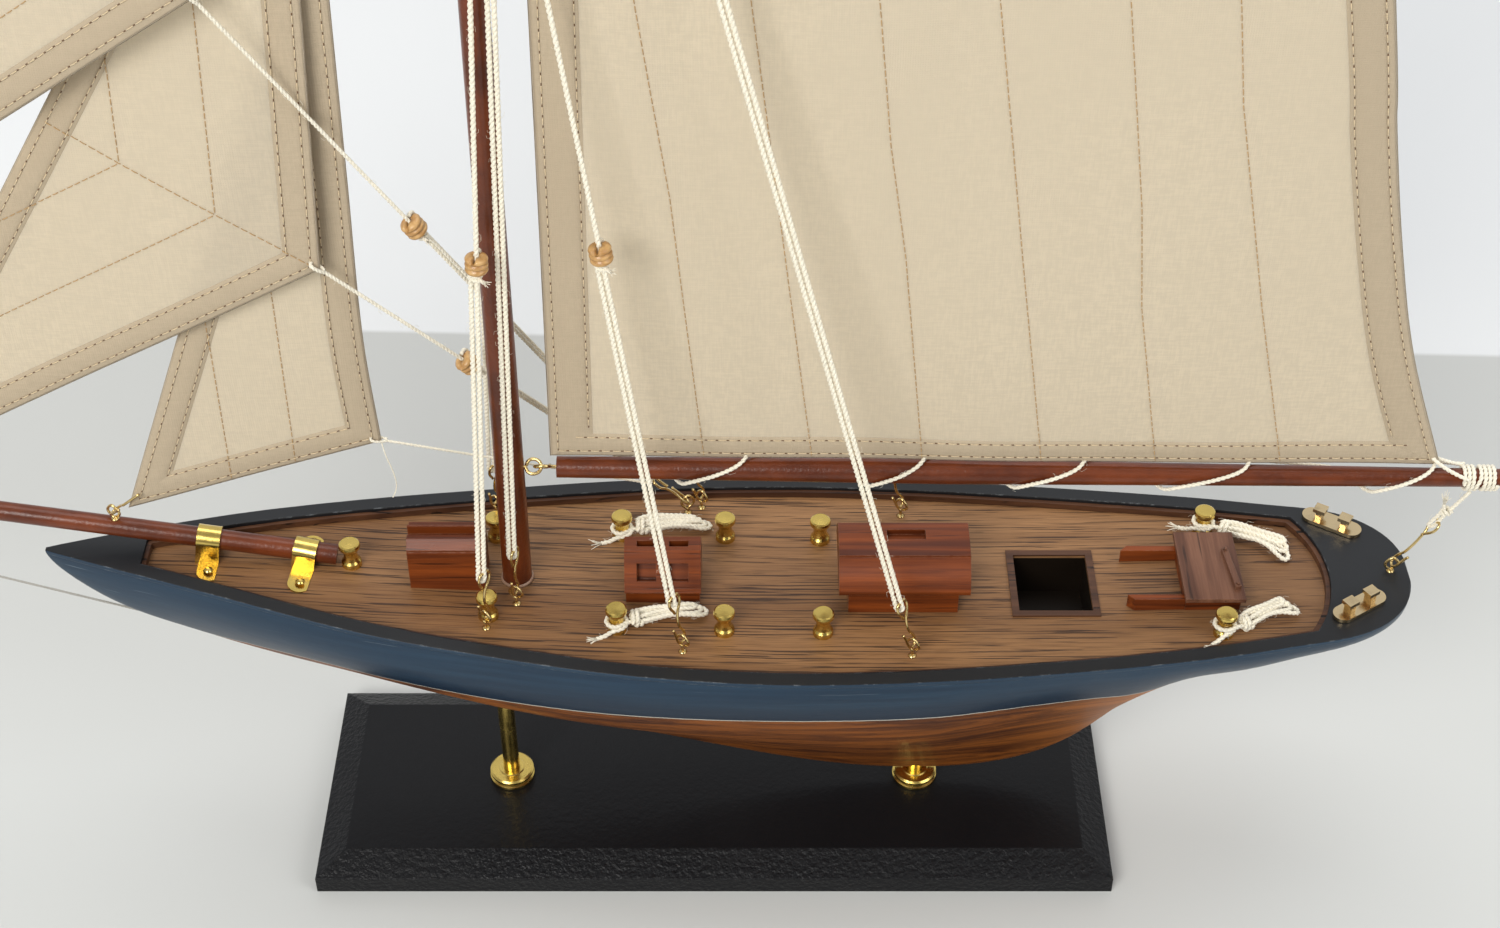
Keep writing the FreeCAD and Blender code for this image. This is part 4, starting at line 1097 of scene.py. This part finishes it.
def make_bead(name, place, line):
    """Turned bead with its hitch of string, on the bead's own body."""
    form = Form()
    form.turned(BEAD_PROFILE, place, line, 36, notch)
    form.make(name + "_turned", name, "bead_wood", [name])
    hitch = Form()
    a = line.orthogonal().normalized()
    b = line.cross(a)

    def spot(angle, reach, h):
        turn = math.radians(angle)
        return place + ((a * math.cos(turn) + b * math.sin(turn)) * reach + line * h) * MM

    radius = 0.5 * MM
    wrap = [spot(34, 0.9, 2.5), spot(34, 2.3, 2.3), spot(40, 3.0, 1.0), spot(60, 3.05, -0.6),
            spot(80, 2.6, -2.2),
            spot(100, 0.9, -2.8), spot(200, 0.9, -2.9)]
    hitch.string(route(wrap), radius, 2.0 * MM)
    knot = place - line * 2.9 * MM
    tie_loops(hitch, knot, line, 0.85 * MM, 2, radius)
    tail = [spot(250, 0.9, -2.7), spot(255, 2.2, -3.1), spot(258, 3.2, -2.8)]
    tail = route(tail)
    hitch.string(tail, radius * 0.9, 2.0 * MM)
    hitch.fray(tail[-1], (tail[-1] - tail[-3]).normalized(), radius, 2.0 * MM, 7)
    hitch.make(name + "_hitch", name, "string")


# ---------------------------------------------------------------- lines
SHROUDS = {
    # name: deck eye (x, y), mast height, end's offset from the mast's axis, bead's share of the run
    "shroud_port_fore": (-53.2, -17.4, SHROUD_Z, 2.2, -3.3, 0.436),
    "shroud_port_aft": (-6.7, -23.1, HOUNDS_Z - 7, 2.2, -3.1, 0.395),
    "backstay_port": (47.2, -23.7, TOPMAST_Z, 1.6, -2.7, 0.56),
    "shroud_starboard_fore": (-54.0, 22.3, SHROUD_Z, 2.2, 3.3, 0.47),
    "shroud_starboard_aft": (-3.0, 26.6, HOUNDS_Z - 7, 2.2, 3.1, 0.395),
    "backstay_starboard": (46.8, 24.2, TOPMAST_Z, 0.8, 2.7, 0.56),
}


def through_ring(start, line, aside, radius=STRING_RADIUS):
    """Control points that take a string from its run, under the hook's loop and up beside itself."""
    gap = STRAND_GAP * MM
    drop = line * (RING * 0.35 + WIRE + radius + 0.75) * MM
    return [start + line * 3 * MM, start + line * 0.2 * MM, start - drop * 0.9 - aside * 0.1 * gap,
            start - drop * 1.15 + aside * 0.5 * gap, start - drop * 0.9 + aside * 1.1 * gap,
            start + line * 0.2 * MM + aside * gap, start + line * 3 * MM + aside * gap]


def straight(a, b, count=12):
    return [a.lerp(b, k / count) for k in range(count + 1)]


def make_doubled(name, start, end, share):
    """A line from the mast to its hook and back up to its bead, which slides on it."""
    line = (end - start).normalized()
    aside = line.cross(STARBOARD).normalized()
    gap = aside * STRAND_GAP * MM
    place = start + (end - start) * share
    run = Form()
    turn = route(through_ring(start, line, aside))
    run.string(straight(end, start + line * 3 * MM) + turn[1:-1], STRING_RADIUS * MM, fuzz=0.10)
    run.make(name + "_string", ROOT, "string", [name])
    back = Form()
    top = place - line * (BEAD_LENGTH / 2 + 0.4) * MM
    low = start + line * 2.9 * MM + gap
    back.string(straight(low, top + gap, 24), STRING_RADIUS * MM, fuzz=0.10)
    second = back.make(name + "_return", None, "string")
    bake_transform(second)
    make_bead("bead_" + name, place, line)


def make_shrouds(eyes, hooks):
    for name, (x, y, z, end_x, end_y, share) in SHROUDS.items():
        end = mast_point(z, end_x, end_y)
        center, axis = wire_eye(eyes, mm(x, y, deck_z(x, y)), 35.0)
        start = wire_hook(hooks, center, end, axis)
        make_doubled(name, start, end, share)


def make_throat_halyard(eyes, hooks):
    end = mm(-38.4, -3.0, 296.0)
    center, axis = wire_eye(eyes, mm(-46.6, -8.9, deck_z(-46.6, -8.9)), 20.0)
    start = wire_hook(hooks, center, end, axis)
    line = (end - start).normalized()
    aside = line.cross(STARBOARD).normalized()
    gap = aside * STRAND_GAP * MM
    form = Form()
    turn = route(through_ring(start, line, aside))
    above = start + line * 3 * MM
    path = straight(end, above) + turn[1:-1] + straight(above + gap, end + gap)
    form.string(path, STRING_RADIUS * MM, fuzz=0.12)
    form.make("throat_halyard_string", ROOT, "string", ["throat_halyard"])


SHEET_EYE = (-6.4, 24.7)


def make_headsail_sheets(eyes, hooks):
    """Sheets of the three headsails, led to one hook on the starboard side deck."""
    foot = mm(*SHEET_EYE, deck_z(*SHEET_EYE))
    clew = mm(*JIB[1])
    center, axis = wire_eye(eyes, foot, turn_across(foot, clew))
    landing = wire_hook(hooks, center, clew, axis)
    radius = THIN_RADIUS * MM
    for name, corner, aside, share in (("jib_sheet", JIB[1], (0, 0, 0), 0.404),
                                       ("flying_jib_sheet", FLYING_JIB[1], (0.9, 0.3, 0.9), 0.411)):
        clew = mm(*corner)
        start = clew + (landing - clew).normalized() * 1.5 * MM
        end = landing + mm(*aside)
        line = (end - start).normalized()
        place = start + (end - start) * share
        run = Form()
        knot_at_corner(run, clew, line, radius)
        run.string(straight(start, end), radius, 2.2 * MM, fuzz=0.06)
        tie_loops(run, end - line * 1.2 * MM, line, 0.8 * MM, 2, radius)
        run.make(name + "_string", ROOT, "string", [name])
        gap = line.cross(STARBOARD).normalized() * 0.95 * MM
        back = Form()
        low = end - line * 2.0 * MM
        top = place + line * (BEAD_LENGTH / 2 + 0.4) * MM
        back.string(straight(low + gap, top + gap, 24), radius, 2.2 * MM, fuzz=0.06)
        second = back.make(name + "_return", None, "string")
        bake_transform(second)
        make_bead("bead_" + name, place, -line)
    clew = mm(*STAYSAIL[1])
    end = landing + mm(-0.9, -0.2, -1.0)
    line = (end - clew).normalized()
    form = Form()
    form.string(straight(clew + line * 1.5 * MM, end), 0.34 * MM, 2.0 * MM)
    knot_at_corner(form, clew, line, 0.34 * MM)
    loose = [clew, clew + mm(0.6, -1.0, -3.5), clew + mm(2.2, -1.2, -9.0), clew + mm(2.6, -1.0, -14.5),
             clew + mm(1.2, -1.2, -17.0)]
    form.tube(route(loose), 0.16 * MM, 5)
    form.make("staysail_sheet_string", ROOT, "string", ["staysail_sheet"])


def knot_at_corner(form, corner, line, radius):
    """Loop of a line through the eyelet in a sail's corner."""
    out = STARBOARD
    back = corner - line * 2.4 * MM
    points = [corner + line * 1.6 * MM, corner - out * 0.9 * MM, back - out * 1.0 * MM, back + UP * 0.3 * MM,
              back + out * 1.0 * MM, corner + out * 0.9 * MM, corner + line * 1.6 * MM + UP * 0.6 * MM]
    form.string(route(points), radius, 2.0 * MM)


def make_headsail_halyards():
    form = Form()
    radius = THIN_RADIUS * MM
    for corners, z in ((STAYSAIL, 300), (JIB, 352), (FLYING_JIB, 424)):
        corner = mm(*corners[2])
        top = mast_point(z, -3.9)
        line = (top - corner).normalized()
        form.string(straight(corner + line * 1.5 * MM, top), radius, 2.2 * MM)
        knot_at_corner(form, corner, line, radius)
    form.make("headsail_halyards_string", ROOT, "string", ["headsail_halyards"])


def mast_radius(z):
    if z <= 100:
        return 3.5
    if z <= HOUNDS_Z:
        return 3.5 - 0.7 * (z - 100) / (HOUNDS_Z - 100)
    return 2.8 - 0.9 * (z - HOUNDS_Z) / (437 - HOUNDS_Z)


def make_mast_details():
    """Seizings where the rigging is made fast, and the pale ring of glue at the deck."""
    form = Form()
    for z, count in ((SHROUD_Z, 3), (HOUNDS_Z - 7, 4), (TOPMAST_Z, 4), (352, 3), (296.7, 2), (418, 3)):
        reach = (mast_radius(z) + 0.5) * MM
        tie_loops_up(form, mast_point(z), reach, count, 0.5 * MM)
    form.make("mast_seizings", ROOT, "string")
    glue = Form()
    x, _, _ = mast_point(80) / MM
    z = deck_z(x - 6, 0)
    profile = [(3.52, -0.3), (4.0, -0.3), (3.95, 0.1), (3.8, 0.3), (3.6, 0.42), (3.52, 0.35)]
    glue.turned(profile, mm(x, 0, z), UP, 40)
    glue.make("mast_foot_glue", ROOT, "pale_glue")


def tie_loops_up(form, middle, reach, count, radius):
    """Turns of string round the mast."""
    points = []
    for k in range(count * 10 + 1):
        angle = 2 * math.pi * k / 10
        shift = UP * radius * 2.0 * (k / 10 - count / 2)
        points.append(middle + shift + Vector((math.cos(angle), math.sin(angle), 0)) * reach * 1.04)
    form.string(route(points), radius, 2.4 * MM)


def make_tack_fittings(eyes, hooks):
    for corners, back in ((STAYSAIL, 4.2), (JIB, 5.0), (FLYING_JIB, 4.4)):
        x, y, z = corners[0]
        foot = bowsprit_point(x - back, BOWSPRIT_RADIUS)
        tack = mm(x, y - 2.0, z)
        center, axis = wire_eye(eyes, foot, turn_across(foot, tack), LOW_EYE_RISE)
        wire_hook(hooks, center, tack + mm(1.5, 0, 4.0), axis, 4.0)


def make_bobstay():
    tip = bowsprit_point(-283.0, -BOWSPRIT_RADIUS - 0.4)
    form = Form()
    form.string(straight(tip, mm(-135.2, 0, 68.05)), 0.3 * MM, 1.8 * MM)
    form.make("bobstay_string", ROOT, "grey_thread", ["bobstay"])


def make_lacing():
    """One cord that spirals along the boom and through the foot of the mainsail."""
    radius = 0.5 * MM
    crossings = ((-6.0, 8.0), (37.0, 49.0), (71.0, 86.0), (106.0, 124.0), (154.0, 167.0))
    points = [mm(-33.5, 0.6, boom_z(-33) + 3.9), mm(-30, 1.9, boom_z(-30) + 3.6)]
    for low, high in crossings:
        z_low = boom_z(low)
        z_high = boom_z(high)
        points += [mm(low - 5.0, 3.7, z_low - 0.6), mm(low - 3.2, 1.6, z_low - 3.3),
                   mm(low - 1.0, -2.2, z_low - 3.1), mm(low + 1.2, -3.7, z_low - 1.1),
                   mm((low + high) / 2, -3.8, (z_low + z_high) / 2 + 1.0), mm(high - 2.0, -2.9, z_high + 3.2),
                   mm(high, -1.3, z_high + 4.3), mm(high + 0.8, 1.4, z_high + 4.3),
                   mm(high + 2.5, 3.4, z_high + 1.6)]
    points += [mm(175.4, 2.6, boom_z(175) + 1.9)]
    form = Form()
    form.string(route(points), radius, 2.3 * MM, fuzz=0.08)
    form.make("sail_lacing_string", BOOM_BODY, "string", ["sail_lacing"])


def make_lashing():
    """Seven turns round the boom, with a gap after the third, and the tie to the clew."""
    form = Form()
    radius = 0.5 * MM
    reach = 2.85
    points = []
    per_turn = 10
    for k in range(7 * per_turn + 1):
        turn = k / per_turn
        x = 174.4 + 1.02 * turn + (0.7 if turn > 3 else 0.0)
        angle = 2 * math.pi * turn
        points.append(mm(x, -reach * math.cos(angle), boom_z(x) + reach * math.sin(angle)))
    form.string(route(points), radius, 2.3 * MM)
    for side in (-1, 1):
        tie = [mm(175.4, 2.7 * side, boom_z(175) + 1.4), mm(171.5, 1.9 * side, boom_z(171) + 2.9),
               mm(167.4, 0.9 * side, 119.4), mm(166.4, 0.2 * side, 120.3)]
        form.string(route(tie), radius, 2.3 * MM)
    form.make("boom_lashing_string", BOOM_BODY, "string", ["boom_lashing"])


def make_gaff_lacing():
    """Turns of cord that hold the head of the mainsail to the gaff."""
    form = Form()
    start = mm(GAFF_START[0], 0, GAFF_START[1])
    end = mm(GAFF_END[0], 0, GAFF_END[1])
    way = (end - start).normalized()
    normal = STARBOARD.cross(way)
    if normal.z < 0:
        normal = -normal
    points = []
    turns = 9
    for k in range(turns * 8 + 1):
        share = 0.13 + 0.8 * k / (turns * 8)
        angle = 2 * math.pi * k / 8
        drop = 1.7 - 1.5 * math.sin(angle)
        center = start.lerp(end, share) - normal * drop * MM
        points.append(center + (STARBOARD * 3.5 * math.cos(angle) + normal * 4.3 * math.sin(angle)) * MM)
    form.string(route(points), 0.45 * MM, 2.3 * MM)
    form.make("gaff_lacing_string", BOOM_BODY, "string")


def make_peak_halyard():
    share = 0.62
    x = GAFF_START[0] + share * (GAFF_END[0] - GAFF_START[0])
    foot = mm(x, 0, along(GAFF_START, GAFF_END, x) + 3.6)
    head = mast_point(418, 4.2)
    form = Form()
    form.string(straight(foot, head), THIN_RADIUS * MM, 2.2 * MM)
    way = mm(GAFF_END[0] - GAFF_START[0], 0, GAFF_END[1] - GAFF_START[1]).normalized()
    middle = mm(x, 0, along(GAFF_START, GAFF_END, x))
    tie_loops(form, middle, way, 2.95 * MM, 3, THIN_RADIUS * MM)
    form.make("peak_halyard_string", BOOM_BODY, "string", ["peak_halyard"])


def make_mainsheet(eyes):
    """The long hook at the stern and the string up to the boom's lashing."""
    x = 163.5
    foot = mm(x, 0, 0)
    foot.z = DECK.ray_cast(mm(x, 0, ABOVE_DECK_Z), -UP)[0].z
    center, axis = wire_eye(eyes, foot, 0.0, LOW_EYE_RISE)
    top = mm(177.4, 0, boom_z(177.4) - 4.4)
    form = Form()
    start = wire_hook(form, center, top, axis, 13.0)
    form.make("mainsheet_hook_wire", "mainsheet", "wire_brass", ["mainsheet_hook"])
    line = (top - start).normalized()
    aside = line.cross(STARBOARD).normalized()
    rope = Form()
    radius = 0.5 * MM
    turn = route(through_ring(start, line, aside, 0.5))
    knot = start + line * 3.6 * MM
    path = straight(top, start + line * 3 * MM, 6) + turn[1:-1]
    rope.string(path, radius, 2.2 * MM, fuzz=0.2)
    tie_loops(rope, knot + aside * 0.5 * MM, line, 1.0 * MM, 2, radius * 0.9)
    tail = [knot + aside * 0.9 * MM, knot + aside * 1.9 * MM + line * 0.4 * MM,
            knot + aside * 2.6 * MM + line * 1.6 * MM]
    tail = route(tail)
    rope.string(tail, radius * 0.9, 2.0 * MM)
    rope.fray(tail[-1], (tail[-1] - tail[-3]).normalized(), radius, 3.4 * MM, 11)
    rope.make("mainsheet_string", "mainsheet", "string", ["mainsheet_line"])


def make_gooseneck(eyes):
    """Two linked eyes between mast and boom."""
    z = BOOM_START[1] + 0.1
    mast_x = mast_point(z).x / MM + 3.47
    back = Vector((1, 0, 0))
    out = STARBOARD
    ring = [(0.0, 0.35, 0), (-1.3, 0.7, 0), (-1.9, 2.1, 0), (-1.1, 3.9, 0), (1.1, 3.9, 0), (1.9, 2.1, 0),
            (1.3, 0.7, 0), (0.2, 0.45, 0.3)]
    rising = (UP + out).normalized()
    falling = (out - UP).normalized()
    bent(eyes, [(0, -0.8, 0)] + ring, mm(mast_x, 0, z), rising, back, falling, GOOSENECK_WIRE)
    form = Form()
    stem = mm(BOOM_START[0] + 0.3, 0, z)
    shape = [(0, -0.8, 0)] + [(s, u + 1.5, o) for s, u, o in ring]
    bent(form, shape, stem, falling, -back, rising, GOOSENECK_WIRE)
    form.make("gooseneck_wire", BOOM_BODY, "wire_brass", ["gooseneck_boom_eye"])


def make_rigging():
    eyes = Form()
    hooks = Form()
    make_shrouds(eyes, hooks)
    make_throat_halyard(eyes, hooks)
    make_headsail_sheets(eyes, hooks)
    make_tack_fittings(eyes, hooks)
    make_mainsheet(eyes)
    make_gooseneck(eyes)
    eyes.make("screw_eyes_wire", ROOT, "wire_brass", ["screw_eyes"])
    hooks.make("line_hooks_wire", ROOT, "wire_brass", ["line_hooks"])
    make_headsail_halyards()
    make_mast_details()
    make_bobstay()
    make_lacing()
    make_lashing()
    make_gaff_lacing()
    make_peak_halyard()


# ---------------------------------------------------------------- studio
def make_floor():
    """Pale floor that turns to the lighter backdrop behind the model."""
    paint = Paint("floor", (0.60, 0.61, 0.595), 0.5, specular=0.3)
    line = paint.math("ADD", paint.axis("Y"), paint.times(paint.axis("X"), 0.035))
    back = paint.between(line, 0.1915, 0.1935, smooth=False)
    near = paint.between(paint.axis("Y"), -0.5, 0.18)
    floor = paint.mix(near, (0.60, 0.615, 0.605), (0.585, 0.59, 0.57))
    paint.set("Base Color", paint.mix(back, floor, (0.82, 0.83, 0.835)))
    paint.set("Roughness", paint.spread(back, 0.34, 0.9))
    size = 6.0
    mesh = bpy.data.meshes.new("floor")
    corners = [(-size, -size, 0), (size, -size, 0), (size, size, 0), (-size, size, 0)]
    mesh.from_pydata(corners, [], [(0, 1, 2, 3)])
    mesh.materials.append(paint.material)
    floor = bpy.data.objects.new("floor", mesh)
    SCENE.collection.objects.link(floor)


def area_light(name, place, target, size, power, color=(1, 1, 1)):
    data = bpy.data.lights.new(name, "AREA")
    data.shape = "RECTANGLE"
    data.size, data.size_y = size
    data.energy = power
    data.color = color
    light = bpy.data.objects.new(name, data)
    light.location = place
    light.rotation_euler = (Vector(target) - Vector(place)).to_track_quat("-Z", "Y").to_euler()
    SCENE.collection.objects.link(light)


def make_lights():
    """Soft studio: a bright sky behind and above, a dimmer one behind the viewer, and three lamps."""
    world = bpy.data.worlds.new("studio")
    world.use_nodes = True
    tree = world.node_tree
    direction = tree.nodes.new("ShaderNodeTexCoord").outputs["Generated"]
    split = tree.nodes.new("ShaderNodeSeparateXYZ")
    tree.links.new(direction, split.inputs[0])
    ramp = tree.nodes.new("ShaderNodeMapRange")
    for name, value in (("From Min", -0.8), ("From Max", 0.6), ("To Min", 0.20), ("To Max", 0.72)):
        ramp.inputs[name].default_value = value
    tree.links.new(split.outputs["Y"], ramp.inputs["Value"])
    background = tree.nodes["Background"]
    background.inputs["Color"].default_value = (0.96, 0.98, 1.0, 1)
    tree.links.new(ramp.outputs["Result"], background.inputs["Strength"])
    SCENE.world = world
    area_light("key", (-0.6, -1.2, 1.05), (0, 0, 0.12), (0.8, 0.7), 22, (1.0, 0.985, 0.95))
    area_light("fill", (1.1, -0.7, 0.9), (0, 0, 0.1), (0.8, 0.8), 7)
    area_light("top", (0.1, 0.3, 1.5), (0, 0, 0.1), (1.2, 0.8), 7)
    SCENE.view_settings.view_transform = "Standard"


make_camera()
make_hanks()
dress_nodes()
make_mainsail()
make_staysail()
make_jibs()
make_rigging()
make_floor()
make_lights()
